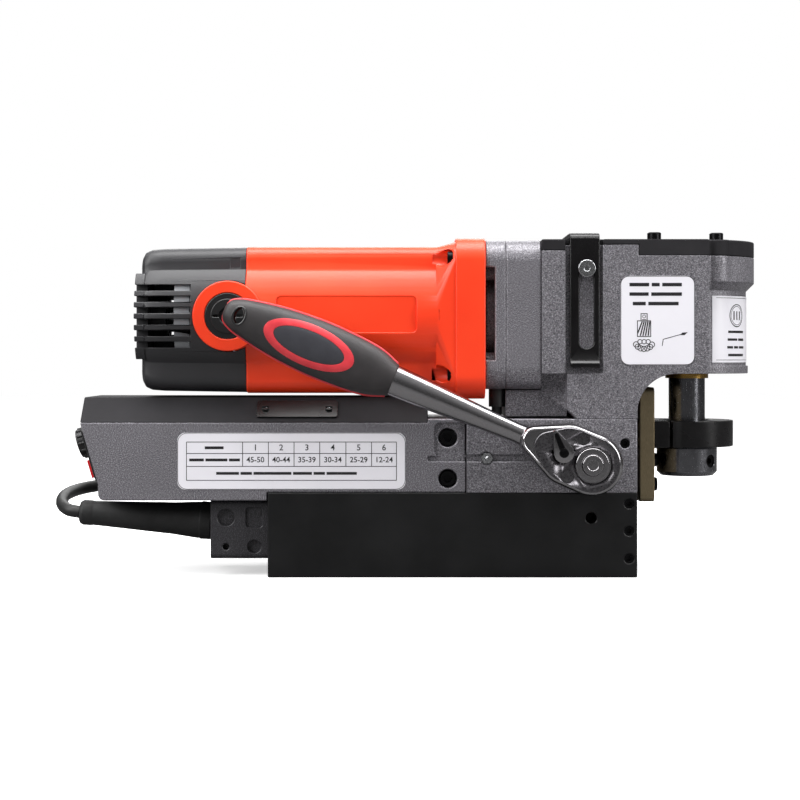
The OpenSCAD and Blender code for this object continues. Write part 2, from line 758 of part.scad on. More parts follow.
module end_cap() {
    color("#333235") difference() {
        union() {
            end_cap_core();
            // middle part stands a little further back
            intersection() {
                along_x(cap_rear - 3, cap_rear + 3) translate([0, motor_z]) circle(motor_r - 3.2);
                block([cap_rear - 4, -half_w, motor_z - 26.5], [cap_rear + 4, half_w, motor_z + 26.5]);
            }
        }
        rod_x(cap_rear + 4, -180, motor_bore_r - 4, 0, motor_z);
        rod_x(-181, motor_rear + 1, motor_bore_r - 1, 0, motor_z);
        // room for the housing's ears
        for (s = [-1, 1])
            rod_y(s * 36 - 16.2, s * 36 + 16.2, ear_r + 0.2, brush_x, motor_z);
        // air slots
        for (s = [-1, 1], k = [-2.5 : 2.5])
            block([cap_rear - 4, s * 42 - 12, motor_z + k * slot_pitch - slot_h / 2],
                  [-161, s * 42 + 12, motor_z + k * slot_pitch + slot_h / 2]);
        // shallow valleys above and below the slots
        for (s = [-1, 1], t = [-1, 1])
            block([cap_rear - 4, s * 44 - 7, motor_z + t * 27 - 1],
                  [motor_rear - 12, s * 44 + 7, motor_z + t * 27 + 1]);
        // clip notch
        for (s = [-1, 1])
            block([-137, s * 40 - 8, 190], [-131, s * 40 + 8, 196]);
    }
    // seat of the rear bearing, and the rib that carries it across the cap
    color("#333235") difference() {
        union() {
            rod_x(cap_rear + 3, -179, 15, 0, motor_z);
            block([cap_rear + 3, -1.2, motor_z - 41.5], [-173, 1.2, motor_z + 41.5]);
        }
        rod_x(-188, -172, 11, 0, motor_z);
    }
}

// ring inside the cap that leads the cooling air past the brushes
module air_guide() {
    color("#a3a5a8") difference() {
        rod_x(-171, -161.6, 40.9, 0, motor_z);
        rod_x(-172, -161, 27, 0, motor_z);
    }
}

module brush_caps() {
    color("#1d1d1e") for (s = [-1, 1]) difference() {
        union() {
            rod_y(s * 42.6 - 3.4, s * 42.6 + 3.4, 14, brush_x, motor_z);
            rod_y(s * 38 - 5, s * 38 + 5, 8.8, brush_x, motor_z);
            rod_y(s * 43.2 - 3.6, s * 43.2 + 3.6, 10.5, brush_x, motor_z);
        }
        rod_y(s * 46 - 2, s * 46 + 2, 5, brush_x, motor_z);
        block([brush_x - 9, s * 46 - 1.2, motor_z - 0.7], [brush_x + 9, s * 46 + 1.2, motor_z + 0.7]);
    }
}

module carbon_brushes() {
    color("#3a3a3c") for (s = [-1, 1])
        block([brush_x - 5, min(s * 14.5, s * 32.6), motor_z - 3], [brush_x + 5, max(s * 14.5, s * 32.6), motor_z + 3]);
}

core_x = [-105, -45];

module stator() {
    color("#8a8d92") difference() {
        rod_x(core_x[0], core_x[1], motor_bore_r - 0.1, 0, motor_z);
        rod_x(core_x[0] - 1, core_x[1] + 1, armature_r + 0.7, 0, motor_z);
    }
    color("#b06a35") for (x = [core_x[0] - 9, core_x[1]]) difference() {
        rod_x(x, x + 9, 38, 0, motor_z);
        rod_x(x - 1, x + 10, 26, 0, motor_z);
    }
}

module motor_bearings() {
    color("#b9bcc0") {
        translate([-187, 0, motor_z]) rotate([0, 90, 0]) bearing(11, shaft_r + running, 7);
        translate([21.8, 0, motor_z]) rotate([0, 90, 0]) bearing(13, shaft_r + running, 9);
    }
}

module gear_bearings() {
    color("#b9bcc0") {
        translate([34.2, 0, layshaft_z]) rotate([0, 90, 0]) bearing(9.5, layshaft_r + running, 6);
        translate([84.5, 0, layshaft_z]) rotate([0, 90, 0]) bearing(9.5, layshaft_r + running, 7);
        translate([arbor_x, 0, 127.7]) bearing(spindle_bearing_r, sleeve_r + running, 9);
        translate([arbor_x, 0, 151.2]) bearing(spindle_bearing_r, sleeve_r + running, 9);
    }
}

module spindle_seal() {
    color("#b8862f") translate([arbor_x, 0, 0]) {
        ring(case_floor + 0.1, 127.4, 16.9, 12);
        ring(121.5, case_floor + 0.2, 13.5, 12);
    }
}

module lead_conduit() {
    color("#161617") {
        rod_z(housing_top, casting_z[0], 3.2, 28, -24);
        rod_z(104, casting_z[0], 5, 28, -24);
    }
}

// ---- feed slide ----

rack_pitch = PI * rack_module;

// Outline of the rack bar in X and Z: its teeth face the pinion
function rack_outline() =
    let (count = floor((bar_z[1] - bar_z[0]) / rack_pitch), x = bar_x[0],
         tip = x - 0.75 * rack_module, root = x + 1.1 * rack_module,
         first = pinion_z - rack_pitch * floor((pinion_z - bar_z[0]) / rack_pitch - 0.5),
         half_tip = rack_pitch / 4 - 0.75 * rack_module * tan(pressure_angle) - 0.07,
         half_root = rack_pitch / 4 + 1.1 * rack_module * tan(pressure_angle) - 0.07)
    concat([[bar_x[1], bar_z[1]], [bar_x[1], bar_z[0]], [root, bar_z[0]]],
        [for (k = [0 : count - 1]) let (z = first + k * rack_pitch) if (z + half_root < bar_z[1]) each
            [[root, z - half_root], [tip, z - half_tip], [tip, z + half_tip], [root, z + half_root]]],
        [[root, bar_z[1]]]);

module rack_bar() {
    color("#8f9296") difference() {
        along_y(-bar_half_w, bar_half_w) polygon(rack_outline());
        for (y = [-8, 8], z = [54.7, 70, 104])
            rod_x(102, bar_x[1] + 1, 2.5, y, z);
    }
}

module slide_plate() {
    color("#86795b") difference() {
        along_x(plate_x[0], plate_x[1]) translate([0, 80.5]) rounded(60, 71, 4);
        for (y = [-8, 8], z = [54.7, 70, 104])
            rod_x(plate_x[0] - 1, plate_x[1] + 1, 2.8, y, z);
        for (y = [-8, 8])
            rod_x(plate_x[1] - 5.2, plate_x[1] + 1, 4.6, y, 104);
        for (y = [-23, 23], z = yoke_screw_z)
            rod_x(plate_x[0] - 1, plate_x[1] + 1, 2.8, y, z);
        for (y = [-23, 23], z = yoke_screw_z)
            rod_x(plate_x[0] - 1, plate_x[0] + 5.2, 4.6, y, z);
    }
}

yoke_screw_z = [82.5, 91];

module slide_screws() {
    color("#1c1c1d") {
        for (y = [-8, 8], z = [54.7, 70])
            translate([plate_x[1], y, z]) rotate([0, 90, 0]) cap_screw(5, 8.5, 4.4, 20);
        for (y = [-8, 8])
            translate([plate_x[1] - 5.2, y, 104]) rotate([0, 90, 0]) cap_screw(5, 8.5, 4.8, 15);
        for (y = [-23, 23], z = yoke_screw_z)
            translate([plate_x[0] + 5.2, y, z]) rotate([0, -90, 0]) cap_screw(5, 8.5, 5, 12);
    }
}

yoke_r = 29;
yoke_bearing_r = 21;

module yoke() {
    color("#151516") difference() {
        union() {
            rod_z(yoke_z[0], yoke_z[1], yoke_r, arbor_x);
            translate([0, 0, yoke_z[0]]) linear_extrude(yoke_z[1] - yoke_z[0])
                polygon([[plate_x[1], -29], [140, -29], [144, -27], [144, 27], [140, 29], [plate_x[1], 29]]);
        }
        block([100, -40, 70], [plate_x[1], 40, 100]);
        // bearing seat with a lip above it
        rod_z(yoke_z[0] - 1, yoke_z[1] - 3, yoke_bearing_r, arbor_x);
        rod_z(yoke_z[1] - 4, yoke_z[1] + 1, 17, arbor_x);
        // clamp slot and its screw
        block([135, -40, yoke_z[0] - 1], [137, -18, yoke_z[1] + 1]);
        rod_x(129, 147, 2.1, -25, 87);
        for (y = [-23, 23], z = yoke_screw_z)
            rod_x(plate_x[1] - 1, plate_x[1] + 9, 2.5, y, z);
    }
}

module yoke_bearing() {
    color("#b9bcc0") translate([arbor_x, 0, yoke_z[0] + 0.1])
        bearing(yoke_bearing_r, shaft_d_r + running, yoke_z[1] - yoke_z[0] - 3.4);
}

// ---- arbor and drive ----

keyway_w = 6;
keyway_depth = 2.5;
set_screw_turn = [-46, 74];            // directions of the two cutter screws

module arbor() {
    color("#a9abae") translate([arbor_x, 0, 0]) difference() {
        union() {
            rotate_extrude() polygon([[0, collar_z[0]], [collar_d / 2 - 2.5, collar_z[0]],
                [collar_d / 2, collar_z[0] + 2.5], [collar_d / 2, collar_z[1] - 0.8],
                [collar_d / 2 - 0.8, collar_z[1]], [0, collar_z[1]]]);
            rod_z(collar_z[1] - 0.1, arbor_top, shaft_d_r);
        }
        rod_z(collar_z[0] - 1, collar_z[0] + 31, weldon_d / 2);
        // ejector pin's passage
        rod_z(collar_z[0] + 30, 150, 3.3);
        // two keyways
        for (s = [0, 180]) rotate([0, 0, s])
            block([shaft_d_r - keyway_depth, -keyway_w / 2, 97], [20, keyway_w / 2, arbor_top + 1]);
        for (a = set_screw_turn) rotate([0, 0, a]) rod_x(8, 20, 4.1, 0, 69.5);
    }
}

module arbor_set_screws() {
    color("#1c1c1d") translate([arbor_x, 0, 69.5]) for (a = set_screw_turn)
        rotate([0, 0, a]) translate([17.6, 0, 0]) rotate([0, 90, 0]) set_screw(8, 7.6);
}

module drive_sleeve() {
    apex = layshaft_z;
    large = apex - bevel_r;            // plane of the crown's large end
    color("#9a9da1") translate([arbor_x, 0, 0]) {
        difference() {
            union() {
                rod_z(127.8, 170, sleeve_r);
                rod_z(163.6, large - 2.2, crown_r - 6);
                rod_z(large - 6, large - 2.6, crown_r + 0.6);
                // crown teeth, narrowing towards the apex
                translate([0, 0, large - 2.7]) cylinder(h = 1.4, r1 = crown_r + 0.6, r2 = crown_r - 1.6);
                translate([0, 0, large - 1.4]) crown_tooth_ring();
            }
            rod_z(120, 200, shaft_d_r + running);
        }
        // keys
        for (s = [0, 180]) rotate([0, 0, s]) intersection() {
            block([shaft_d_r - keyway_depth + 0.3, -keyway_w / 2 + 0.15, 127.8], [12.4, keyway_w / 2 - 0.15, 169]);
            rod_z(127.8, 169, 12.4);
        }
    }
}

// Radial ridges of the crown, cut to the slope of its pitch cone
module crown_tooth_ring() {
    inner = crown_r - bevel_face;
    slope = bevel_r / crown_r;
    pitch = 360 / crown_teeth;
    for (k = [0 : crown_teeth - 1]) rotate([0, 0, (k + 0.5) * pitch])
        rotate([90, 0, 90]) translate([0, 0, inner]) linear_extrude(bevel_face)
            polygon([[-0.62, -1.4], [0.62, -1.4], [0.28, 1.5], [-0.28, 1.5]]);
}

module layshaft() {
    color("#9a9da1") translate([0, 0, layshaft_z]) {
        rod_x(34.3, 118, layshaft_r);
        rod_x(52.2, 84.3, 5);
        rod_x(91.6, 118, 5);
        // bevel pinion
        translate([arbor_x - crown_r, 0, 0]) rotate([0, 90, 0]) mirror([0, 0, 0])
            linear_extrude(bevel_face, scale = (crown_r - bevel_face) / crown_r)
                polygon(bevel_outline(bevel_teeth, bevel_r, 0.7, -1.6));
        rod_x(117, arbor_x - crown_r, 7.5);
    }
}

module layshaft_gear() {
    color("#7f8286") translate([43, 0, layshaft_z]) rotate([0, 90, 0])
        difference() {
            linear_extrude(9) polygon(gear_outline(gear_module, wheel_teeth));
            translate([0, 0, -1]) cylinder(h = 11, r = layshaft_r + 0.01);
            for (s = [-1, 1])
                translate([0, 0, s * 8 - (s < 0 ? 0 : 1)]) difference() {
                    cylinder(h = 9.5, r = 14);
                    translate([0, 0, -1]) cylinder(h = 12, r = 8);
                }
        }
}

module armature() {
    color("#9a9da1") translate([0, 0, motor_z]) {
        rod_x(-187, 42.1, shaft_r);
        translate([42, 0, 0]) rotate([0, 90, 0]) rotate([0, 0, 180 / pinion_teeth])
            linear_extrude(11) polygon(gear_outline(gear_module, pinion_teeth));
    }
    color("#77797d") difference() {
        rod_x(core_x[0], core_x[1], armature_r, 0, motor_z);
        // winding slots
        for (a = [0 : 30 : 330]) translate([0, 0, motor_z]) rotate([a, 0, 0])
            block([core_x[0] - 1, -1, armature_r - 1.2], [core_x[1] + 1, 1, armature_r + 1]);
    }
    color("#b06a35") {
        rod_x(core_x[0] - 12, core_x[0], 19, 0, motor_z);
        rod_x(core_x[1], core_x[1] + 11, 19, 0, motor_z);
        rod_x(-151, -122, 14, 0, motor_z);
    }
}

module cooling_fan() {
    color("#2b2b2d") translate([0, 0, motor_z]) difference() {
        union() {
            rod_x(5, 19, 10);
            rod_x(5, 7, 37);
            for (a = [0 : 36 : 324]) rotate([a, 0, 0])
                block([6, -1, 9], [18.5, 1, 37]);
        }
        rod_x(4, 20, shaft_r + 0.02);
    }
}

// ---- feed pinion and ratchet ----

drive_sq = 12.7;

module pinion_frame() {
    translate([pinion_x, 0, pinion_z]) children();
}

module feed_pinion() {
    color("#9a9da1") pinion_frame() difference() {
        union() {
            rotate([90, 0, 0]) translate([0, 0, -13]) linear_extrude(26)
                rotate([0, 0, 180 / rack_teeth]) polygon(gear_outline(rack_module, rack_teeth));
            rod_y(-44.8, 44.8, 7.9);
            rod_y(-44.8, -19.6, 11);
            rod_y(19.6, 44.8, 11);
        }
        for (s = [-1, 1])
            block([-6.45, s * 36 - 9.5, -6.45], [6.45, s * 36 + 9.5, 6.45]);
    }
}

module pinion_bushes() {
    color("#b3975a") pinion_frame() for (s = [-1, 1]) difference() {
        rod_y(s * 32.4 - 12.4, s * 32.4 + 12.4, 15);
        rod_y(s * 32.4 - 14, s * 32.4 + 14, 11 + running);
    }
}

// the wrench lies in front of the housing: its own X runs along the handle
wrench_y = [-70, -50.5];

module wrench_frame() {
    translate([pinion_x, 0, pinion_z]) rotate([0, wrench_angle, 0]) children();
}

module ratchet_drive() {
    color("#b9bcc0") pinion_frame() rotate([0, wrench_angle, 0]) difference() {
        union() {
            rod_y(-68.2, -51, 11.8);
            rod_y(-72, -68, 10);
            rod_y(-51.2, -48.6, 9);
        }
        rod_y(-73, -54.5, 6.3);
    }
    color("#b9bcc0") pinion_frame()
        block([-drive_sq / 2, -48.7, -drive_sq / 2], [drive_sq / 2, -27.5, drive_sq / 2]);
}

module release_button() {
    color("#c9cacc") wrench_frame() difference() {
        rod_y(-74.6, -58.5, 6.2);
        rod_y(-76, -74, 3);
    }
}

module wrench_body() {
    color("#a9abae") wrench_frame() {
        difference() {
            union() {
                // egg-shaped head
                along_y(wrench_y[0], wrench_y[1]) hull() {
                    circle(18.8);
                    translate([-15, 0]) circle(18.6);
                    translate([-37, 0]) circle(9, $fn = 48);
                }
            }
            rod_y(-73, -47, 12.1);
            // seat of the cover
            along_y(wrench_y[0] - 1, wrench_y[0] + 1.6) cover_shape(0.25);
            // pivot of the lever
            rod_y(wrench_y[0] - 1, -62, 2.6, lever_pivot[0], lever_pivot[1]);
        }
        // shank
        translate([0, -60.2, 0]) rotate([0, -90, 0]) rotate_extrude() polygon([[0, 27], [6.6, 27], [7.4, 32],
            [6.2, 44], [6.6, 66], [8.6, 106], [9.6, 127], [9.6, 129.2], [0, 129.2]]);
        // tang inside the grip
        rod_x(-wrench_len + 45, -128, 6, -60.2, 0);
    }
}

lever_pivot = [-18.6, 0];

module cover_shape(grow) {
    difference() {
        hull() {
            circle(16.6 + grow);
            translate([-15, 0]) circle(16.4 + grow);
            translate([-28, 0]) circle(9 + grow, $fn = 48);
        }
        translate([0.8, 0]) circle(11 - grow);
    }
}

module wrench_cover() {
    color("#3d3e41") wrench_frame() difference() {
        along_y(wrench_y[0] - 0.6, wrench_y[0] + 1.5) cover_shape(0);
        rod_y(-73, -60, 3, lever_pivot[0], lever_pivot[1]);
        rod_y(-73, -47, 10.4);
    }
    color("#c9cacc") wrench_frame() for (p = [[-11, 12.3], [-11, -12.3]])
        translate([p[0], wrench_y[0] - 0.6, p[1]]) rotate([90, 0, 0]) difference() {
            cylinder(h = 0.7, r = 3.4);
            translate([0, 0, 0.2]) cylinder(h = 1, r = 1.4, $fn = 6);
        }
}

module reverse_lever() {
    color("#b9bcc0") wrench_frame() translate([lever_pivot[0], 0, lever_pivot[1]]) {
        rod_y(-71, -62.5, 2.4);
        rod_y(-73.3, -72.6, 2.6);
        along_y(-72.8, -70.9) rotate([0, 0, 135.6])
            hull() {
                circle(6.2, $fn = 32);
                translate([13.2, 0]) circle(1.6, $fn = 32);
            }
    }
}

module wrench_grip() {
    grip_start = 129;
    color("#2c292a") wrench_frame() translate([0, -60.2, 0]) difference() {
        rotate([0, -90, 0]) hull() {
            for (s = [[grip_start + 0.2, 10.8, 8.8], [grip_start + 11, 14.4, 9.4], [grip_start + 26, 16.6, 10],
                      [grip_start + 50, 17.4, 10], [grip_start + 78, 15.2, 9.6], [wrench_len - 10, 11, 8.6],
                      [wrench_len - 1, 7, 6]])
                translate([0, 0, s[0]]) linear_extrude(0.4) intersection() {
                    circle(s[1], $fn = 40);
                    square([2 * s[1], 2 * s[2]], center = true);
                }
        }
        rod_x(-wrench_len + 45, -100, 6.02);
        // hanging hole
        along_y(-20, 20) translate([-wrench_len + 10.5, 0]) rounded(7, 10, 3.4);
    }
}

// ---- handle ----

handle_x = [71.8, 90];
handle_t = 2.8;
handle_in = half_w - channel_depth + 0.3;
handle_top = 211;

module carrying_handle() {
    low = 128.4;
    w = handle_x[1] - handle_x[0];
    out = handle_in + handle_t;
    color("#161617") difference() {
        along_x(handle_x[0], handle_x[1]) difference() {
            union() {
                translate([0, (low + handle_top - 3) / 2]) square([2 * out, handle_top - 3 - low], center = true);
                translate([0, handle_top - 6]) rounded(2 * out, 12, 5);
            }
            translate([0, (low + handle_top) / 2 - handle_t - 10])
                square([2 * handle_in, handle_top - low + 20], center = true);
        }
        for (s = [-1, 1])
            along_y(s * half_w - 4, s * half_w + 4)
                translate([82, 166.5]) rounded(8.8, 53, 4.3);
    }
    // lips bent outwards at both ends
    color("#161617") for (s = [-1, 1])
        along_x(handle_x[0], handle_x[1])
            polygon([[s * (out - 0.1), low], [s * (out + 3), low], [s * (out + 3), low + 2.6],
                     [s * (out - 0.1), low + 5.6]]);
}

module handle_bolts() {
    color("#c9c9cb") for (s = [-1, 1]) {
        rod_y(s * 37 - 9, s * 37 + 9, 3, 82, 189);
        rod_y(min(s * 42, s * (handle_in + handle_t + 0.35)), max(s * 42, s * (handle_in + handle_t + 0.35)), 4, 82, 189);
        difference() {
            rod_y(s * 46.6 - 1.1, s * 46.6 + 1.1, 5.3, 82, 189);
            translate([82, s * 47.2, 189]) rotate([90, 0, 0]) cylinder(h = 2, r = 1.8, center = true, $fn = 6);
        }
    }
}

magnet_block();
magnet_coil();
magnet_potting();
slide_housing();
gib_strip();
gib_screws();
grease_nipple();
control_box();
box_cover();
access_plate();
rear_panel();
control_board();
housing_screws();
cable_block();
cable_boot();
mains_cord();
cord_coil();
cord_tie();
mains_plug();
speed_label();
case_labels();
gear_case();
gear_case_cover();
cap_screws();
vent_casting();
reduction_case();
motor_housing();
end_cap();
air_guide();
brush_caps();
carbon_brushes();
stator();
motor_bearings();
gear_bearings();
spindle_seal();
pinion_bushes();
lead_conduit();
handle_bolts();
slide_plate();
rack_bar();
yoke();
slide_screws();
yoke_bearing();
arbor();
arbor_set_screws();
drive_sleeve();
layshaft();
layshaft_gear();
armature();
cooling_fan();
feed_pinion();
ratchet_drive();
release_button();
wrench_body();
wrench_cover();
wrench_grip();
reverse_lever();
carrying_handle();
magnet_switch();
motor_switch();
speed_dial();
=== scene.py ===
import json
import math
import bmesh
import bpy
from mathutils import Matrix, Vector
from mathutils.bvhtree import BVHTree


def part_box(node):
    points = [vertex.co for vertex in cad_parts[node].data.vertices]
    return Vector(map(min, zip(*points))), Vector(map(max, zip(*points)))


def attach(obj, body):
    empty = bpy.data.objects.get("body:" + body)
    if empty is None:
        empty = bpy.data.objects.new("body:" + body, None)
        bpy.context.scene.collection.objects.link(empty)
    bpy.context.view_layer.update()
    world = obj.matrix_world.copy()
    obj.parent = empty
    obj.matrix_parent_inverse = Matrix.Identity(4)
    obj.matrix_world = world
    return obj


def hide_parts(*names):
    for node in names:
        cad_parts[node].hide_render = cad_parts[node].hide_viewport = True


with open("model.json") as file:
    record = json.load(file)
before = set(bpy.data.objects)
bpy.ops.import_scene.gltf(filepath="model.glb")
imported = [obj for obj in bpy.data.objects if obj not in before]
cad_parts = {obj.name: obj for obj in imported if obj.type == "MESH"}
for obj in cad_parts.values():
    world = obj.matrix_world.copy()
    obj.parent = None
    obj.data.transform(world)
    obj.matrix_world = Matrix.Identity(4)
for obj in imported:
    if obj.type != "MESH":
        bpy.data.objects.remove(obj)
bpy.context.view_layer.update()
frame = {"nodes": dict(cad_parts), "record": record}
nodes = frame["nodes"]
mm = 0.001
print("frame loaded:", len(nodes), "nodes")

# ---- camera, floor and light ----

studio = {
    "cameraAt": (-0.026, -1.145, 0.136),
    "lens": 81.0,
    "shift": (-0.0125, -0.056),
    "floorTone": "#f4f4f4",
    "floorGlow": 0.55,
    "floorSeenByParts": "#6e6e6e",
    "room": [(0.0, 0.30), (0.49, 0.10), (0.62, 0.16), (0.85, 0.55), (1.0, 0.7)],   # what the parts reflect
    "lamps": [            # name, place, target, size, watts
        ("overhead", (0, -0.15, 1.1), (0, 0, 0.1), (1.5, 0.5), 24),
        ("left", (-1.1, -0.75, 0.75), (-0.02, 0, 0.12), (0.5, 0.9), 14),
        ("right", (1.1, -0.65, 0.6), (0.02, 0, 0.1), (0.35, 0.9), 10),
        ("back", (0, 1.2, 0.9), (0, 0, 0.1), (1.4, 0.5), 10),
    ],
}


def linearPart(v):
    return v / 12.92 if v <= 0.04045 else ((v + 0.055) / 1.055) ** 2.4


def colour(hexCode):
    parts = [int(hexCode[i:i + 2], 16) / 255 for i in (1, 3, 5)]
    return (*[linearPart(p) for p in parts], 1.0)


def makeCamera():
    data = bpy.data.cameras.new("camera")
    data.lens = studio["lens"]
    data.shift_x, data.shift_y = studio["shift"]
    data.clip_end = 30
    camera = bpy.data.objects.new("camera", data)
    camera.location = studio["cameraAt"]
    camera.rotation_euler = (math.radians(90), 0, 0)
    bpy.context.scene.collection.objects.link(camera)
    bpy.context.scene.camera = camera


def areaLight(name, place, target, size, power):
    data = bpy.data.lights.new(name, "AREA")
    data.shape = "RECTANGLE"
    data.size, data.size_y = size
    data.energy = power
    light = bpy.data.objects.new(name, data)
    light.location = place
    light.rotation_euler = (Vector(target) - Vector(place)).to_track_quat("-Z", "Y").to_euler()
    bpy.context.scene.collection.objects.link(light)


makeCamera()

# ---- the mains lead: its route comes before everything else ----

lead = {
    "diameter": 8.0,
    "route": [(-233, -14, 37.5), (-240.5, -12, 38.6), (-246, -4, 41), (-248.5, 8, 44), (-247.5, 22, 46.5),
              (-242, 36, 48.4), (-231, 46, 50), (-216, 52, 51), (-196, 55, 51), (-172, 56, 48),
              (-150, 56, 42), (-128, 55, 33), (-106, 54, 23), (-84, 53, 13), (-62, 53, 6.5),
              (-40, 53, 4), (-25, 53, 4), (-10, 53, 4)],
    "coilCentre": (-10, 113),
    "turnRadii": [60, 52, 44, 36, 36, 44, 52, 60],
    "turnHeights": [4, 4, 4, 4, 12, 12, 12, 12],
    "plugRoute": [(-10, 53, 12), (6, 53.2, 11.6), (20, 54.5, 10.3), (34, 57.2, 9.3),
                  (46, 59.2, 9), (54, 59.5, 9)],
    "stepsPerTurn": 60,
    "crossing": 55,            # degrees in which a turn steps over to the next
}


def smoothStep(t):
    t = min(max(t, 0), 1)
    return t * t * (3 - 2 * t)


def splinePoints(points, steps):
    pts = [Vector(p) for p in points]
    pts = [2 * pts[0] - pts[1]] + pts + [2 * pts[-1] - pts[-2]]
    out = []
    for i in range(1, len(pts) - 2):
        a, b, c, d = pts[i - 1:i + 3]
        for k in range(steps):
            t = k / steps
            out.append(0.5 * (2 * b + (c - a) * t + (2 * a - 5 * b + 4 * c - d) * t ** 2
                              + (3 * b - a - 3 * c + d) * t ** 3))
    out.append(pts[-2])
    return out


def leadPath():
    path = splinePoints(lead["route"], 5)
    cx, cy = lead["coilCentre"]
    radii, heights, steps = lead["turnRadii"], lead["turnHeights"], lead["stepsPerTurn"]
    for turn, r in enumerate(radii):
        last = turn == len(radii) - 1
        nextR = r if last else radii[turn + 1]
        nextZ = heights[turn] if last else heights[turn + 1]
        for k in range(1, steps + 1):
            degrees = 360 * k / steps
            step = smoothStep((degrees - 360 + lead["crossing"]) / lead["crossing"])
            rr = r + (nextR - r) * step
            z = heights[turn] + (nextZ - heights[turn]) * step
            a = math.radians(degrees - 90)
            path.append(Vector((cx + rr * math.cos(a), cy + rr * math.sin(a), z)))
    path += splinePoints(lead["plugRoute"], 5)[1:]
    return [Vector((p.x, p.y, max(p.z, lead["diameter"] / 2))) * mm for p in path]


def makeLead():
    path = leadPath()
    data = bpy.data.curves.new("mains_lead", "CURVE")
    data.dimensions = "3D"
    data.bevel_depth = lead["diameter"] / 2 * mm * 0.985
    data.bevel_resolution = 5
    data.use_fill_caps = True
    spline = data.splines.new("POLY")
    spline.points.add(len(path) - 1)
    for point, p in zip(spline.points, path):
        point.co = (*p, 1)
    spline.use_smooth = True
    lead["length"] = sum((b - a).length for a, b in zip(path, path[1:]))
    obj = bpy.data.objects.new("mains_lead", data)
    bpy.context.scene.collection.objects.link(obj)
    return obj


leadObject = makeLead()
print("lead:", round(lead["length"], 3), "m")

# ---- materials ----


def addNode(tree, kind, settings=None, **inputs):
    node = tree.nodes.new(kind)
    for name, value in (settings or {}).items():
        setattr(node, name, value)
    for name, value in inputs.items():
        socket = node.inputs[int(name[1:])] if name[0] == "_" and name[1:].isdigit() \
            else node.inputs[name.replace("_", " ")]
        if isinstance(value, bpy.types.NodeSocket):
            tree.links.new(value, socket)
        else:
            socket.default_value = value
    return node


def newMaterial(name):
    mat = bpy.data.materials.new(name)
    mat.use_nodes = True
    tree = mat.node_tree
    shader = tree.nodes["Principled BSDF"]
    where = addNode(tree, "ShaderNodeTexCoord").outputs["Object"]
    return mat, tree, shader, where


def ramp(tree, factor, stops):
    node = addNode(tree, "ShaderNodeValToRGB", Fac=factor)
    while len(node.color_ramp.elements) < len(stops):
        node.color_ramp.elements.new(0.5)
    for element, (place, value) in zip(node.color_ramp.elements, stops):
        element.position = place
        element.color = colour(value) if isinstance(value, str) else (value, value, value, 1)
    return node.outputs["Color"]


def grainNoise(tree, where, size, detail=3.0, rough=0.55):
    return addNode(tree, "ShaderNodeTexNoise", Vector=where, Scale=1 / (size * mm), Detail=detail,
                   Roughness=rough).outputs["Fac"]


def bump(tree, height, depth, strength=1.0, under=None):
    inputs = {"Height": height, "Distance": depth * mm, "Strength": strength}
    if under is not None:
        inputs["Normal"] = under
    return addNode(tree, "ShaderNodeBump", **inputs).outputs["Normal"]


def mix(tree, factor, a, b):
    return addNode(tree, "ShaderNodeMix", {"data_type": "RGBA"}, _0=factor, _6=a, _7=b).outputs[2]


# hammered enamel on a casting: silicone makes it pull into small shallow cells with pale flakes between
def hammeredEnamel(name, tones, patches, metal=0.28):
    mat, tree, shader, where = newMaterial(name)
    cells = addNode(tree, "ShaderNodeTexVoronoi", {"feature": "SMOOTH_F1"}, Vector=where,
                    Scale=1 / (1.15 * mm), Smoothness=0.6).outputs["Distance"]
    fleck = grainNoise(tree, where, 0.62, 4, 0.62)
    tone = ramp(tree, fleck, list(zip((0.32, 0.45, 0.55, 0.68), tones)))
    patch = ramp(tree, grainNoise(tree, where, 45, 2), [(0.3, patches[0]), (0.7, patches[1])])
    blended = addNode(tree, "ShaderNodeMix", {"data_type": "RGBA", "blend_type": "MULTIPLY"},
                      _0=0.55, _6=tone, _7=patch).outputs[2]
    shader.inputs["Metallic"].default_value = metal
    tree.links.new(blended, shader.inputs["Base Color"])
    tree.links.new(ramp(tree, fleck, [(0.35, 0.52), (0.7, 0.34)]), shader.inputs["Roughness"])
    lower = bump(tree, cells, 0.09, 0.55)
    tree.links.new(bump(tree, fleck, 0.05, 0.5, lower), shader.inputs["Normal"])
    return mat


# satin stoving paint on machined steel: almost black, faint orange peel, a little paler in random clouds
def stovedBlack(name="stoved_black_paint", tone="#151516", roughness=0.42, peel=0.02, sheen=0.5):
    mat, tree, shader, where = newMaterial(name)
    shader.inputs["Specular IOR Level"].default_value = sheen
    cloud = grainNoise(tree, where, 28, 3)
    light = "#" + "".join(f"{min(255, int(tone[i:i + 2], 16) + 9):02x}" for i in (1, 3, 5))
    tree.links.new(ramp(tree, cloud, [(0.3, tone), (0.75, light)]), shader.inputs["Base Color"])
    tree.links.new(ramp(tree, cloud, [(0.3, roughness - 0.05), (0.75, roughness + 0.06)]),
                   shader.inputs["Roughness"])
    tree.links.new(bump(tree, grainNoise(tree, where, 1.1, 2), peel, 0.6), shader.inputs["Normal"])
    return mat


# injection-moulded glass-filled nylon: spark-eroded mould leaves a fine even grain
def mouldedNylon(name, dark, light, roughness, grain=0.35, depth=0.03):
    mat, tree, shader, where = newMaterial(name)
    cloud = grainNoise(tree, where, 60, 2)
    tree.links.new(ramp(tree, cloud, [(0.35, dark), (0.7, light)]), shader.inputs["Base Color"])
    spark = grainNoise(tree, where, grain, 2, 0.6)
    tree.links.new(ramp(tree, spark, [(0.3, roughness - 0.05), (0.7, roughness + 0.06)]),
                   shader.inputs["Roughness"])
    tree.links.new(bump(tree, spark, depth, 0.5), shader.inputs["Normal"])
    shader.inputs["IOR"].default_value = 1.5
    return mat


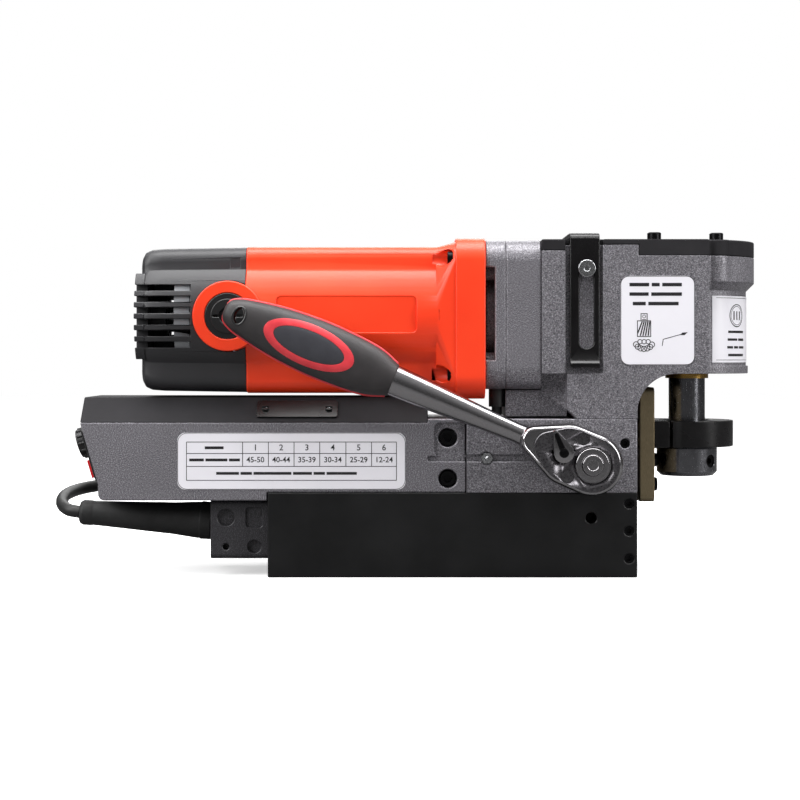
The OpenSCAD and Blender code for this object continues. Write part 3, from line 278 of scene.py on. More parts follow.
# turned or ground steel: fine lines along the cut, drawn coarser than the real 0.05 mm so that they show
def groundSteel(name, tone, roughness, stretch, lines=0.35, depth=0.01):
    mat, tree, shader, where = newMaterial(name)
    turned = addNode(tree, "ShaderNodeMapping", Vector=where, Scale=stretch).outputs["Vector"]
    score = grainNoise(tree, turned, lines, 2, 0.6)
    light = "#" + "".join(f"{min(255, int(tone[i:i + 2], 16) + 22):02x}" for i in (1, 3, 5))
    tree.links.new(ramp(tree, score, [(0.3, tone), (0.7, light)]), shader.inputs["Base Color"])
    tree.links.new(ramp(tree, score, [(0.3, roughness - 0.06), (0.7, roughness + 0.08)]),
                   shader.inputs["Roughness"])
    shader.inputs["Metallic"].default_value = 1.0
    tree.links.new(bump(tree, score, depth, 0.4), shader.inputs["Normal"])
    return mat


# pressure-sensitive vinyl with a clear gloss laminate
def printedVinyl(name, tone, roughness=0.3):
    mat, tree, shader, where = newMaterial(name)
    light = "#" + "".join(f"{min(255, int(tone[i:i + 2], 16) + 3):02x}" for i in (1, 3, 5))
    tree.links.new(ramp(tree, grainNoise(tree, where, 30, 2), [(0.35, tone), (0.7, light)]),
                   shader.inputs["Base Color"])
    shader.inputs["Roughness"].default_value = roughness
    tree.links.new(bump(tree, grainNoise(tree, where, 6, 2), 0.004, 0.3), shader.inputs["Normal"])
    return mat


# enamelled copper wire wound in layers: a ridge every wire, coloured from the same wave, so that the grooves
# between wires carry painted shade and the crowns a painted highlight
def woundCopper():
    mat, tree, shader, where = newMaterial("enamelled_copper_winding")
    wires = addNode(tree, "ShaderNodeTexWave", {"bands_direction": "Z"}, Vector=where, Scale=1 / (4.2 * mm),
                    Distortion=1.5, Detail=1.0).outputs["Fac"]
    tree.links.new(ramp(tree, wires, [(0.2, "#5a2a14"), (0.8, "#b0663a")]), shader.inputs["Base Color"])
    shader.inputs["Metallic"].default_value = 0.85
    shader.inputs["Roughness"].default_value = 0.38
    tree.links.new(bump(tree, wires, 0.3, 0.8), shader.inputs["Normal"])
    return mat


# stacked electrical steel: half-millimetre sheets seen on edge, coloured from the same wave as their bump, so
# that the grooves between sheets carry painted shade and the sheet edges a painted highlight
def stackedSheet():
    mat, tree, shader, where = newMaterial("laminated_electrical_steel")
    sheets = addNode(tree, "ShaderNodeTexWave", {"bands_direction": "X"}, Vector=where,
                     Scale=1 / (5 * mm)).outputs["Fac"]
    tree.links.new(ramp(tree, sheets, [(0.2, "#4b4d50"), (0.8, "#8b8e92")]), shader.inputs["Base Color"])
    shader.inputs["Metallic"].default_value = 0.9
    shader.inputs["Roughness"].default_value = 0.45
    tree.links.new(bump(tree, sheets, 0.15, 0.7), shader.inputs["Normal"])
    return mat


# moulded rubber: matt, slightly dusty in random patches
def mouldedRubber(name="moulded_rubber", tone="#151515", light="#222223", roughness=0.62, grain=0.5):
    mat, tree, shader, where = newMaterial(name)
    tree.links.new(ramp(tree, grainNoise(tree, where, 9, 4), [(0.35, tone), (0.75, light)]),
                   shader.inputs["Base Color"])
    shader.inputs["Roughness"].default_value = roughness
    tree.links.new(bump(tree, grainNoise(tree, where, grain, 3), 0.03, 0.6), shader.inputs["Normal"])
    return mat


looks = {
    "hammered_grey": hammeredEnamel("hammered_enamel", ("#403f43", "#7b797e", "#98969b", "#d6d3d8"),
                                    ("#918f94", "#a9a7ac")),
    "magnet_black": stovedBlack(tone="#0d0d0e", sheen=0.3),
    "cover_black": stovedBlack("black_powder_coat", "#262527", 0.62, 0.03, 0.08),
    # darker copy of the hammered enamel: painted shade for the set-back cable block
    "hammeredPaintedShade": hammeredEnamel("hammered_enamel_painted_shade", ("#1b1b1d", "#343336", "#444347", "#6d6b70"),
                               ("#8a888c", "#a09ea2"), 0.15),
    "black_steel": stovedBlack("gloss_black_enamel", "#0b0a0b", 0.26, 0.01, 0.35),
    "orange_shell": mouldedNylon("orange_moulded_nylon", "#f2380f", "#f8431a", 0.42),
    "black_shell": mouldedNylon("black_moulded_nylon", "#262628", "#2e2d30", 0.48, 0.4, 0.04),
    "black_plastic": mouldedNylon("black_abs", "#131314", "#1a1a1b", 0.36),
    "grey_plastic": mouldedNylon("grey_moulded_plastic", "#8e9094", "#989a9e", 0.45),
    "red_button": mouldedNylon("red_polycarbonate", "#c81018", "#d4141c", 0.2, 0.6, 0.005),
    "green_button": mouldedNylon("green_polycarbonate", "#0d6b2c", "#107a33", 0.2, 0.6, 0.005),
    "ground_steel": groundSteel("ground_steel", "#85868a", 0.26, (1, 1, 14)),
    "hardChrome": groundSteel("polished_tool_steel", "#6a6a6e", 0.2, (1, 1, 0.2), 0.5, 0.004),
    "chrome_steel": groundSteel("satin_chrome_plate", "#8c8a8c", 0.16, (3, 1, 1), 0.8, 0.004),
    "zinc_screws": groundSteel("bright_zinc_plate", "#a9aaac", 0.24, (1, 1, 1), 0.7, 0.008),
    "black_oxide": groundSteel("black_oxide_steel", "#141415", 0.34, (1, 1, 1), 0.5, 0.01),
    "gibbed_plate": groundSteel("milled_bronze", "#7d7057", 0.42, (1, 1, 0.12), 0.3, 0.012),
    "brass": groundSteel("turned_brass", "#a98442", 0.28, (1, 1, 8)),
    "label": printedVinyl("white_vinyl", "#e6e4ea"),
    # black ink for the print, also used for the painted shadow lines at two labels' edges
    "labelInkAndEdgeShadow": printedVinyl("black_print_and_painted_edge_shadow", "#1d1b1e", 0.4),
    "copper": woundCopper(),
    "lamination": stackedSheet(),
    "resin": mouldedRubber("cast_epoxy", "#221d19", "#2f2823", 0.3, 3.0),
    "carbon": mouldedRubber("pressed_carbon", "#26262a", "#333338", 0.5, 0.3),
    "circuit_board": mouldedNylon("solder_mask_on_laminate", "#0e4a24", "#13602f", 0.3, 0.9),
    "rubber": mouldedRubber(),
    "cord_sheath": mouldedRubber("rubber_sheath", "#0c0c0c", "#171717", 0.5, 0.7),
    "grip": mouldedRubber("soft_touch_grip", "#262324", "#302c2d", 0.55, 0.35),
    "gripPad": mouldedRubber("grip_thumb_pad", "#2f2f35", "#37373d", 0.5, 0.5),
    "pressedPlate": groundSteel("pressed_chrome_plate", "#5a585b", 0.3, (1, 1, 1), 0.9, 0.004),
    "gripRed": mouldedRubber("red_grip_insert", "#c9303a", "#dd4148", 0.42, 0.35),
}
for part in frame["record"]["subparts"]:
    data = nodes[part["node"]].data
    data.materials.clear()
    data.materials.append(looks[part["material_slot"]])
print("materials:", len(looks))

# ---- shared mesh work ----

slotOf = {part["node"]: part["material_slot"] for part in frame["record"]["subparts"]}
bodyOf = {node: body for body, members in frame["record"]["behaviour"]["bodies"].items()
          for node in members}


def finishPiece(obj, body, replaced=()):
    if replaced:
        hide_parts(*replaced)
    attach(obj, body)
    return obj


def objectFrom(bm, name, smooth=35):
    data = bpy.data.meshes.new(name)
    bm.to_mesh(data)
    bm.free()
    data.shade_smooth()
    data.set_sharp_from_angle(angle=math.radians(smooth))
    obj = bpy.data.objects.new(name, data)
    bpy.context.scene.collection.objects.link(obj)
    return obj


def bakeModifiers(obj):
    bpy.context.view_layer.update()
    graph = bpy.context.evaluated_depsgraph_get()
    data = bpy.data.meshes.new_from_object(obj.evaluated_get(graph))
    obj.modifiers.clear()
    obj.data = data
    return obj


# Only the arrises that a brush could reach are broken: an outward edge that sees open space
def markArrises(bm, angle):
    bm.normal_update()
    tree = BVHTree.FromBMesh(bm)
    weight = bm.edges.layers.float.new("bevel_weight_edge")
    for edge in bm.edges:
        if len(edge.link_faces) != 2 or edge.calc_face_angle_signed(0) < math.radians(angle):
            continue
        outward = edge.link_faces[0].normal + edge.link_faces[1].normal
        if outward.length < 1e-6:
            continue
        outward.normalize()
        middle = (edge.verts[0].co + edge.verts[1].co) / 2
        if tree.ray_cast(middle + outward * 0.2 * mm, outward, 0.3)[0] is None:
            edge[weight] = 1


# finish of one piece in place of its slot's own; the cable block takes a darker copy of the hammered enamel
# as painted shade
closerLook = {"cable_block": "hammeredPaintedShade", "arbor": "hardChrome"}


# A copy of a CAD part with its arrises broken, as tumbling, paint or a mould's radius leaves them
def brokenEdges(node, width, segments=2, angle=32):
    bm = bmesh.new()
    bm.from_mesh(nodes[node].data)
    bmesh.ops.remove_doubles(bm, verts=bm.verts, dist=2e-6)
    bmesh.ops.dissolve_limit(bm, verts=bm.verts, edges=bm.edges, angle_limit=math.radians(0.6))
    if node == "gear_case":
        # its pierced faces have too many corners to be shaded as one
        pierced = [f for f in bm.faces if len(f.verts) > 90 or len(f.verts) > 14 and abs(f.normal.y) > 0.9]
        bmesh.ops.triangulate(bm, faces=pierced, quad_method="BEAUTY", ngon_method="BEAUTY")
    markArrises(bm, angle)
    obj = objectFrom(bm, node + "_finished")
    bevel = obj.modifiers.new("arris", "BEVEL")
    bevel.width = width * mm
    bevel.segments = segments
    bevel.limit_method = "WEIGHT"
    bevel.use_clamp_overlap = False
    even = obj.modifiers.new("flats", "WEIGHTED_NORMAL")
    even.keep_sharp = True
    even.weight = 100
    bakeModifiers(obj)
    obj.data.materials.clear()
    obj.data.materials.append(looks[closerLook.get(node, slotOf[node])])
    return finishPiece(obj, bodyOf[node], [node])


arrises = {               # width of the broken edge in millimetres
    "magnet_block": 0.6, "slide_housing": 0.7, "control_box": 0.7, "box_cover": 0.8, "gear_case": 0.35,
    "gear_case_cover": 0.8, "vent_casting": 0.9, "reduction_case": 0.9, "motor_housing": 0.6,
    "end_cap": 0.45, "cable_block": 0.6, "slide_plate": 0.4, "yoke": 0.6, "arbor": 0.25,
    "carrying_handle": 0.5, "brush_caps": 0.5, "rear_panel": 0.6, "ratchet_drive": 0.4,
    "release_button": 0.4, "speed_dial": 0.3, "magnet_switch": 0.5, "motor_switch": 0.5,
    "access_plate": 0.25, "handle_bolts": 0.3, "cable_boot": 0.5,
}
for node, width in arrises.items():
    brokenEdges(node, width)
print("edges broken on", len(arrises), "parts")

# ---- ratchet wrench ----

spindleX = [mount["pos_m"][0] for mount in frame["record"]["mounts"] if mount["name"] == "arbor_bore"][0] / mm
jointAt = {joint["name"]: Vector(joint["pos_m"]) for joint in frame["record"]["behaviour"]["joints"]
           if "pos_m" in joint}

wrench = {                # millimetres, from the drive's axis back along the shank
    "lean": 22.9,         # degrees above level
    "axisY": -60.2,
    "front": -70.0,
    "back": -50.5,
    "head": [((0, 0), 18.8), ((-15, 0), 18.6), ((-37, 0), 9.0)],
    "plate": [((0, 0), 16.6), ((-15, 0), 16.4), ((-28, 0), 9.0)],
    "shank": [(27, 9.4, 7.6), (31, 8.4, 7.2), (36, 7.2, 6.7), (46, 6.1, 6.0), (56, 6.3, 6.1),
              (66, 6.6, 6.3), (86, 7.6, 6.9), (106, 8.7, 7.6), (122, 9.4, 8.0), (129.4, 9.6, 8.1)],
    "grip": [(129.2, 9.8, 7.6), (129.8, 10.6, 8.6), (132, 11.4, 9.0), (140, 14.3, 9.3), (147, 15.7, 9.6),
             (155, 16.5, 9.9), (167, 17.1, 9.9), (179, 17.3, 9.9), (191, 16.7, 9.8), (203, 15.7, 9.6),
             (214, 14.1, 9.2), (224, 12.2, 8.8), (231, 10.6, 8.3), (236, 8.4, 6.9), (238.4, 6.4, 5.6),
             (239.5, 4.0, 3.6)],
    "ringAt": 184.0,
    "ring": (29.0, 12.6, 22.6, 8.4),     # half axes outside and inside
    "hole": (229.5, 3.3, 5.0),
    "bore": 12.1,
    "pawlAt": -18.6,
    "pocketFloor": -62,
    "driveHole": (0.8, 0, 11),           # in the cover plate: along, off the middle, radius
    "plateRecess": (-11, 12.3, 3.9),
    # share of the width across the ring and the thumb pad, and how far each stands up there
    "ringRise": [(0, -0.6), (0.02, 0.12), (0.2, 0.3), (0.8, 0.3), (0.98, 0.12), (1, -0.6)],
    "padRise": [(1, -0.6), (0.99, 0.05), (0.95, 0.12), (0.75, 0.12), (0.5, 0.12), (0.25, 0.12), (0.04, 0.12)],
}


def wrenchPlace():
    lean = Matrix.Rotation(math.radians(wrench["lean"]), 4, "Y")
    return Matrix.Translation(jointAt["wrench_swing"]) @ lean @ Matrix.Diagonal((mm, mm, mm, 1))


def loft(bm, rings, capStart=True, capEnd=True):
    rows = [[bm.verts.new(p) for p in ring] for ring in rings]
    n = len(rows[0])
    for a, b in zip(rows, rows[1:]):
        for i in range(n):
            bm.faces.new((a[i], a[(i + 1) % n], b[(i + 1) % n], b[i]))
    if capStart:
        bm.faces.new(list(reversed(rows[0])))
    if capEnd:
        bm.faces.new(rows[-1])
    return rows


def around(count):
    return [2 * math.pi * k / count for k in range(count)]


def finishBmesh(bm, name, place, material, smooth=35):
    bmesh.ops.transform(bm, matrix=place, verts=bm.verts)
    bmesh.ops.recalc_face_normals(bm, faces=bm.faces)
    obj = objectFrom(bm, name, smooth)
    obj.data.materials.append(material)
    return obj


def smoothStations(stations, steps):
    points = splinePoints([Vector(s) for s in stations], steps)
    return [tuple(p) for p in points]


def ovalSection(d, w, t, y, count=48, power=2.35):
    ring = []
    for k in range(count):
        a = 2 * math.pi * k / count
        c, s = math.cos(a), math.sin(a)
        ring.append((-d, y + t * math.copysign(abs(s) ** (2 / power), s),
                     w * math.copysign(abs(c) ** (2 / power), c)))
    return ring


def supportRing(circles, inset, y, count=96):
    ring = []
    for k in range(count):
        a = 2 * math.pi * k / count
        u = (math.cos(a), math.sin(a))
        centre, r = max(circles, key=lambda c: c[0][0] * u[0] + c[0][1] * u[1] + c[1])
        ring.append((centre[0] + (r - inset) * u[0], y, centre[1] + (r - inset) * u[1]))
    return ring


def cutAway(obj, cutter):
    cut = obj.modifiers.new("cut", "BOOLEAN")
    cut.object = cutter
    cut.solver = "EXACT"
    bakeModifiers(obj)
    bpy.data.objects.remove(cutter)
    return obj


def roundRing(x, z, halfX, halfZ, y, count):
    return [(x + halfX * math.cos(a), y, z + halfZ * math.sin(a)) for a in around(count)]


# A round or oval hole through a piece of the wrench, from one height to another
def drilled(obj, x, z, halfX, halfZ, heights, count, material):
    bm = bmesh.new()
    loft(bm, [roundRing(x, z, halfX, halfZ, y, count) for y in heights])
    return cutAway(obj, finishBmesh(bm, "cutter", wrenchPlace(), material))


def makeWrenchSteel():
    front, back = wrench["front"], wrench["back"]
    bm = bmesh.new()
    # rolled edge of the forged head: inset from the outline, and height
    edge = [(2.6, back), (1.0, back + 0.5), (0.2, back + 1.8), (0, back + 3.5), (0, front + 4.4),
            (0.25, front + 2.6), (0.8, front + 1.2), (1.5, front + 0.35), (2.2, front), (2.5, front + 0.2),
            (2.6, front + 1.4)]
    loft(bm, [supportRing(wrench["head"], inset, y) for inset, y in edge])
    head = finishBmesh(bm, "ratchet_head", wrenchPlace(), looks["chrome_steel"])
    bore = wrench["bore"]
    head = drilled(head, 0, 0, bore, bore, (back + 5, front - 5), 64, looks["chrome_steel"])
    head = drilled(head, wrench["pawlAt"], 0, 2.6, 2.6, (wrench["pocketFloor"], front - 5), 32,
                   looks["chrome_steel"])
    bm = bmesh.new()
    bm.from_mesh(head.data)
    bmesh.ops.transform(bm, matrix=wrenchPlace().inverted(), verts=bm.verts)
    loft(bm, [ovalSection(d, w, t, wrench["axisY"], power=2.1)
              for d, w, t in smoothStations(wrench["shank"], 5)])
    bpy.data.objects.remove(head)
    steel = finishBmesh(bm, "wrench_steel", wrenchPlace(), looks["chrome_steel"])
    finishPiece(steel, "wrench", ["wrench_body"])


def makeWrenchPlate():
    front = wrench["front"]
    bm = bmesh.new()
    loft(bm, [supportRing(wrench["plate"], inset, y)
              for inset, y in [(0, front + 1.5), (0, front - 0.3), (0.35, front - 0.6)]])
    plate = finishBmesh(bm, "ratchet_plate", wrenchPlace(), looks["pressedPlate"])
    along, off, recess = wrench["plateRecess"]
    through, shallow = front + 3, front + 0.4
    cuts = [(*wrench["driveHole"], through), (wrench["pawlAt"], 0, 3, through)]
    cuts += [(along, off * side, recess, shallow) for side in (-1, 1)]
    for x, z, r, low in cuts:
        plate = drilled(plate, x, z, r, r, (low, front - 3), 48, looks["pressedPlate"])
    finishPiece(plate, "wrench", ["wrench_cover"])


def makeGrip():
    stations = smoothStations(wrench["grip"], 4)
    y = wrench["axisY"]
    bm = bmesh.new()
    loft(bm, [ovalSection(d, w - 0.5, t, y) for d, w, t in stations])
    grip = finishBmesh(bm, "grip_moulding", wrenchPlace(), looks["grip"])
    at, hx, hz = wrench["hole"]
    through = (y - 15, y + 15)
    finishPiece(drilled(grip, -at, 0, hx, hz, through, 40, looks["grip"]), "wrench", ["wrench_grip"])
    # red core of the two-shot moulding, which shows as a line round the edge
    bm = bmesh.new()
    loft(bm, [ovalSection(d, w + 0.45, 1.5, y, power=3) for d, w, t in stations[6:]])
    core = finishBmesh(bm, "grip_core", wrenchPlace(), looks["gripRed"])
    finishPiece(drilled(core, -at, 0, hx, hz, through, 40, looks["grip"]), "wrench")
    # lip round the hanging hole
    bm = bmesh.new()
    for side in (-1, 1):
        rings = []
        for grow, rise in [(0.1, -1.5), (0.15, 0.25), (0.6, 0.5), (1.1, 0.3), (1.5, -1.5)]:
            rings.append([gripPoint(-at + (hx + grow) * math.cos(a), (hz + grow) * math.sin(a), rise, side)
                          for a in around(40)])
        loft(bm, rings, False, False)
        bmesh.ops.bridge_loops(bm, edges=[e for e in bm.edges if e.is_boundary])
    finishPiece(finishBmesh(bm, "grip_eyelet", wrenchPlace(), looks["black_plastic"]), "wrench")


def gripPoint(x, z, rise, side):
    stations = smoothStations(wrench["grip"], 4)
    d = min(max(-x, stations[0][0]), stations[-1][0])
    for a, b in zip(stations, stations[1:]):
        if a[0] <= d <= b[0]:
            f = (d - a[0]) / (b[0] - a[0])
            w, t = a[1] + (b[1] - a[1]) * f - 0.5, a[2] + (b[2] - a[2]) * f
            break
    reach = min(abs(z) / w, 0.999)
    return (x, wrench["axisY"] + side * (t * (1 - reach ** 2.35) ** (1 / 2.35) + rise), z)


def makeGripInlays():
    outX, outZ, inX, inZ = wrench["ring"]

    def band(halfX, halfZ, rise, side):
        return [gripPoint(-wrench["ringAt"] + halfX * math.cos(a), halfZ * math.sin(a), rise, side)
                for a in around(96)]

    bm = bmesh.new()
    for side in (-1, 1):
        rows = loft(bm, [band(inX + (outX - inX) * f, inZ + (outZ - inZ) * f, rise, side)
                         for f, rise in wrench["ringRise"]], False, False)
        for i in range(96):
            j = (i + 1) % 96
            bm.faces.new((rows[-1][i], rows[-1][j], rows[0][j], rows[0][i]))
    finishPiece(finishBmesh(bm, "grip_ring", wrenchPlace(), looks["gripRed"]), "wrench")
    bm = bmesh.new()
    for side in (-1, 1):
        loft(bm, [band((inX - 0.1) * f, (inZ - 0.1) * f, rise, side) for f, rise in wrench["padRise"]])
    finishPiece(finishBmesh(bm, "grip_pad", wrenchPlace(), looks["gripPad"]), "wrench")


lever = {                 # each edge is a list of insets from the outline and heights
    "lean": -135.6,
    "reach": 13.2,
    "slotReach": 11.6,
    "stem": (2.3, (-62.5, -70.95)),
    "bladeEdge": [(0.5, -70.9), (0.05, -71.1), (0, -72.2), (0.3, -72.65), (0.9, -72.8)],
    "slotEdge": [(0, -72.5), (0, -72.86), (0.2, -72.9)],
    "screwEdge": [(0, -72.5), (0, -73.1), (0.4, -73.3)],
}


def makeReverseLever():
    pivot = (wrench["pawlAt"], 0)
    lean = math.radians(lever["lean"])

    def alongBlade(reach):
        return (pivot[0] + reach * math.cos(lean), pivot[1] - reach * math.sin(lean))

    def pressed(bm, outline, edge):
        loft(bm, [supportRing(outline, inset, y) for inset, y in edge])

    bm = bmesh.new()
    pressed(bm, [(pivot, 6.2), (alongBlade(lever["reach"]), 1.6)], lever["bladeEdge"])
    r, heights = lever["stem"]
    loft(bm, [roundRing(*pivot, r, r, y, 32) for y in heights])
    finishPiece(finishBmesh(bm, "lever_blade", wrenchPlace(), looks["chrome_steel"]), "reverse_lever",
                ["reverse_lever"])
    # dark sheet laid on the blade where its pressed slot is: painted shade; and its pivot screw
    bm = bmesh.new()
    pressed(bm, [(pivot, 1.9), (alongBlade(lever["slotReach"]), 1.3)], lever["slotEdge"])
    pressed(bm, [(pivot, 2.9)], lever["screwEdge"])
    finishPiece(finishBmesh(bm, "lever_slot_shade_and_screw", wrenchPlace(), looks["black_oxide"]), "reverse_lever")


makeWrenchSteel()
makeWrenchPlate()
makeGrip()
makeGripInlays()
makeReverseLever()
print("wrench made")

# ---- print on the labels ----

# Ink is drawn flat in millimetres (along, up), as thin closed solids, and then laid on its label
class Ink:
    def __init__(self, thickness):
        self.bm = bmesh.new()
        self.thickness = thickness

    def shape(self, points):
        low = [self.bm.verts.new((u, v, 0)) for u, v in points]
        high = [self.bm.verts.new((u, v, self.thickness)) for u, v in points]
        n = len(points)
        self.bm.faces.new(list(reversed(low)))
        self.bm.faces.new(high)
        for i in range(n):
            j = (i + 1) % n
            self.bm.faces.new((low[i], low[j], high[j], high[i]))

    def bar(self, u0, v0, u1, v1, step=3.0):
        count = max(1, math.ceil((u1 - u0) / step))
        for k in range(count):
            a, b = u0 + (u1 - u0) * k / count, u0 + (u1 - u0) * (k + 1) / count
            self.shape([(a, v0), (b, v0), (b, v1), (a, v1)])

    def stroke(self, a, b, width):
        a, b = Vector(a), Vector(b)
        side = (b - a).orthogonal().normalized() * width / 2
        self.shape([tuple(p) for p in (a - side, b - side, b + side, a + side)])

    def ring(self, centre, r, width, count=32):
        for k in range(count):
            a, b = 2 * math.pi * k / count, 2 * math.pi * (k + 1) / count
            self.shape([(centre[0] + q * math.cos(t), centre[1] + q * math.sin(t))
                        for q, t in ((r, a), (r, b), (r - width, b), (r - width, a))])

    # painted shadow line just inside a label's edge: half width, half height, corner radius and the line's
    # width
    def paintedEdgeShadow(self, hu, hv, r, width):
        outline = []
        for quarter, (du, dv) in enumerate([(1, 1), (-1, 1), (-1, -1), (1, -1)]):
            outline += [((hu - r) * du, (hv - r) * dv, math.pi / 2 * (quarter + k / 8)) for k in range(9)]
        for a, b in zip(outline, outline[1:] + outline[:1]):
            self.shape([(c[0] + rr * math.cos(c[2]), c[1] + rr * math.sin(c[2]))
                        for c, rr in ((a, r), (b, r), (b, r - width), (a, r - width))])

    # rows of blank bars stand where words would be
    def blankWords(self, u0, u1, v, height, words, gap=1.0):
        scale = (u1 - u0 - gap * (len(words) - 1)) / sum(words)
        u = u0
        for length in words:
            self.bar(u, v - height / 2, u + length * scale, v + height / 2)
            u += length * scale + gap

    def words(self, text, centre, height):
        data = bpy.data.curves.new("numerals", "FONT")
        data.body = text
        data.align_x = "CENTER"
        data.align_y = "CENTER"
        data.size = height / 0.72
        data.resolution_u = 3
        data.offset = 0.06
        data.extrude = self.thickness / 2
        holder = bpy.data.objects.new("numerals", data)
        bpy.context.scene.collection.objects.link(holder)
        bpy.context.view_layer.update()
        flat = bpy.data.meshes.new_from_object(holder.evaluated_get(bpy.context.evaluated_depsgraph_get()))
        flat.transform(Matrix.Translation((centre[0], centre[1], self.thickness / 2)))
        self.bm.from_mesh(flat)
        bpy.data.objects.remove(holder)

    def lay(self, name, onto, body):
        for vert in self.bm.verts:
            vert.co = Vector(onto(*vert.co)) * mm
        bmesh.ops.recalc_face_normals(self.bm, faces=self.bm.faces)
        obj = objectFrom(self.bm, name, 20)
        obj.data.materials.append(looks["labelInkAndEdgeShadow"])
        return finishPiece(obj, body)


inkDepth = 0.05           # millimetres of ink, drawn thicker than real so that it shows

speedTable = {            # millimetres on the label, from its middle
    "half": (64.2, 11.7),
    "line": 0.42,
    "rows": [4.7, -3.2],
    "columns": [-29.9, -14.1, 1.6, 17.3, 33.3, 49.0],
    "ranges": ["45-50", "40-44", "35-39", "30-34", "25-29", "12-24"],
    "figure": 3.7,
    "wordHeight": 1.7,
    "words": [(-53, -41.5, [5]), (-62.5, -31.5, [4, 6, 3]), (-46, 40, [6, 3, 10, 5, 3, 8])],
    # the edge line is a painted shadow along the label's edge, drawn in ink
    "paintedEdgeShadow": (0.1, 5.9, 0.3),           # in from the edge, corner radius, width
}


def printSpeedTable():
    low, high = [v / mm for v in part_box("speed_label")[0]], [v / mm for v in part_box("speed_label")[1]]
    middle = ((low[0] + high[0]) / 2, (low[2] + high[2]) / 2)
    ink = Ink(inkDepth)
    # dark line just inside the label's edge: painted shadow
    inset, corner, width = speedTable["paintedEdgeShadow"]
    ink.paintedEdgeShadow((high[0] - low[0]) / 2 - inset, (high[2] - low[2]) / 2 - inset, corner, width)
    hu, hv = speedTable["half"]
    w, rows, figure = speedTable["line"], speedTable["rows"], speedTable["figure"]
    for v in [-hv, *rows, hv]:
        ink.bar(-hu, v - w / 2, hu, v + w / 2, 200)
    for u in [-hu, hu]:
        ink.bar(u - w / 2, -hv, u + w / 2, hv, 200)
    for u in speedTable["columns"]:
        ink.bar(u - w / 2, rows[1], u + w / 2, hv, 200)
    rowMiddles = [(rows[0] + hv) / 2, sum(rows) / 2, (rows[1] - hv) / 2]
    edges = speedTable["columns"] + [hu]
    for k, (a, b) in enumerate(zip(edges, edges[1:])):
        ink.words(str(k + 1), ((a + b) / 2, rowMiddles[0]), figure)
        ink.words(speedTable["ranges"][k], ((a + b) / 2, rowMiddles[1]), figure * 0.92)
    for v, (u0, u1, words) in zip(rowMiddles, speedTable["words"]):
        ink.blankWords(u0, u1, v, speedTable["wordHeight"], words)
    ink.lay("speed_label_print_and_edge_shadow", lambda u, v, h: (middle[0] + u, low[1] - h, middle[1] + v), "base_unit")


caseLabel = {             # millimetres on the label, from its middle
    "behindSpindle": 24.7,
    "height": 157.25,
    # the edge line is a painted shadow along the label's edge, drawn in ink
    "paintedEdgeShadow": (22.6, 27.1, 4.9, 0.3),
    "words": [(21.9, 16, [5, 2, 5]), (16.1, 16, [5, 8]), (10.3, 14, [3, 7])],
    "wordHeight": 2.1,
    "cutterShank": [(-10.4, 0, -9.9, 4.4), (-6.7, 0, -6.2, 4.4), (-10.4, 3.9, -6.2, 4.4),
                    (-9.6, 0.2, -7, 0.7)],
    "cutterBody": [(-12.6, -9.6, -12.1, 0), (-4.5, -9.6, -4.0, 0), (-12.6, -0.5, -4.0, 0),
                   (-12.6, -10.1, -4.0, -9.6)],
    "brush": [(2.8, -15.5), (3.4, -11.4), (3.2, -11.6), (14.6, -8.4)],
    "brushHead": [(13.6, -8.9), (16.4, -9.0), (18.4, -7.2), (15.2, -7.4)],
}


def printCaseLabel():
    ink = Ink(inkDepth)
    # dark line just inside the label's edge: painted shadow
    ink.paintedEdgeShadow(*caseLabel["paintedEdgeShadow"])
    for v, half, words in caseLabel["words"]:
        ink.blankWords(-half - 1.2, half - 1.2, v, caseLabel["wordHeight"], words, 1.6)
    # annular cutter: driven end, fluted body and a heap of curled chips
    for corners in caseLabel["cutterShank"]:
        ink.bar(*corners)
    ink.ring((-8.3, 2.4), 1.1, 0.35, 16)
    for corners in caseLabel["cutterBody"]:
        ink.bar(*corners)
    for k in range(5):
        ink.stroke((-12.2 + 1.6 * k, -9.4 + (k == 0) * 1.5), (-9.4 + 1.15 * k, -0.6), 0.8)
    for k in range(7):
        a = math.radians(200 + 23 * k)
        ink.ring((-8.3 + 5.2 * math.cos(a), -13.2 + 4.2 * math.sin(a)), 1.9, 0.5, 14)
    for k in range(3):
        ink.ring((-10.8 + 2.5 * k, -13), 1.6, 0.5, 14)
    # long-handled brush
    heel, knee, start, end = caseLabel["brush"]
    ink.stroke(heel, knee, 0.45)
    ink.stroke(start, end, 0.45)
    ink.shape(caseLabel["brushHead"])
    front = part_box("case_labels")[0][1] / mm
    across = spindleX - caseLabel["behindSpindle"]
    ink.lay("case_label_print_and_edge_shadow", lambda u, v, h: (across + u, front - h, caseLabel["height"] + v), "base_unit")


noseLabel = {             # millimetres round the nose and up, from the label's middle
    "radius": 37.32,      # of the casting's nose, with the label on it
    "turn": -43,          # degrees from straight ahead
    "height": 152.1,
    "badge": (0, 8.5),
    "badgeRings": [(7.2, 0.6), (5.9, 0.35)],
    "words": [(-1.6, [4]), (-6.4, [5, 4]), (-11.2, [6, 5, 8]), (-16.0, [9])],
    "rules": [(-17.5, -19.2, 17.5, -18.9), (-17.5, 19.2, 17.5, 19.5)],
}


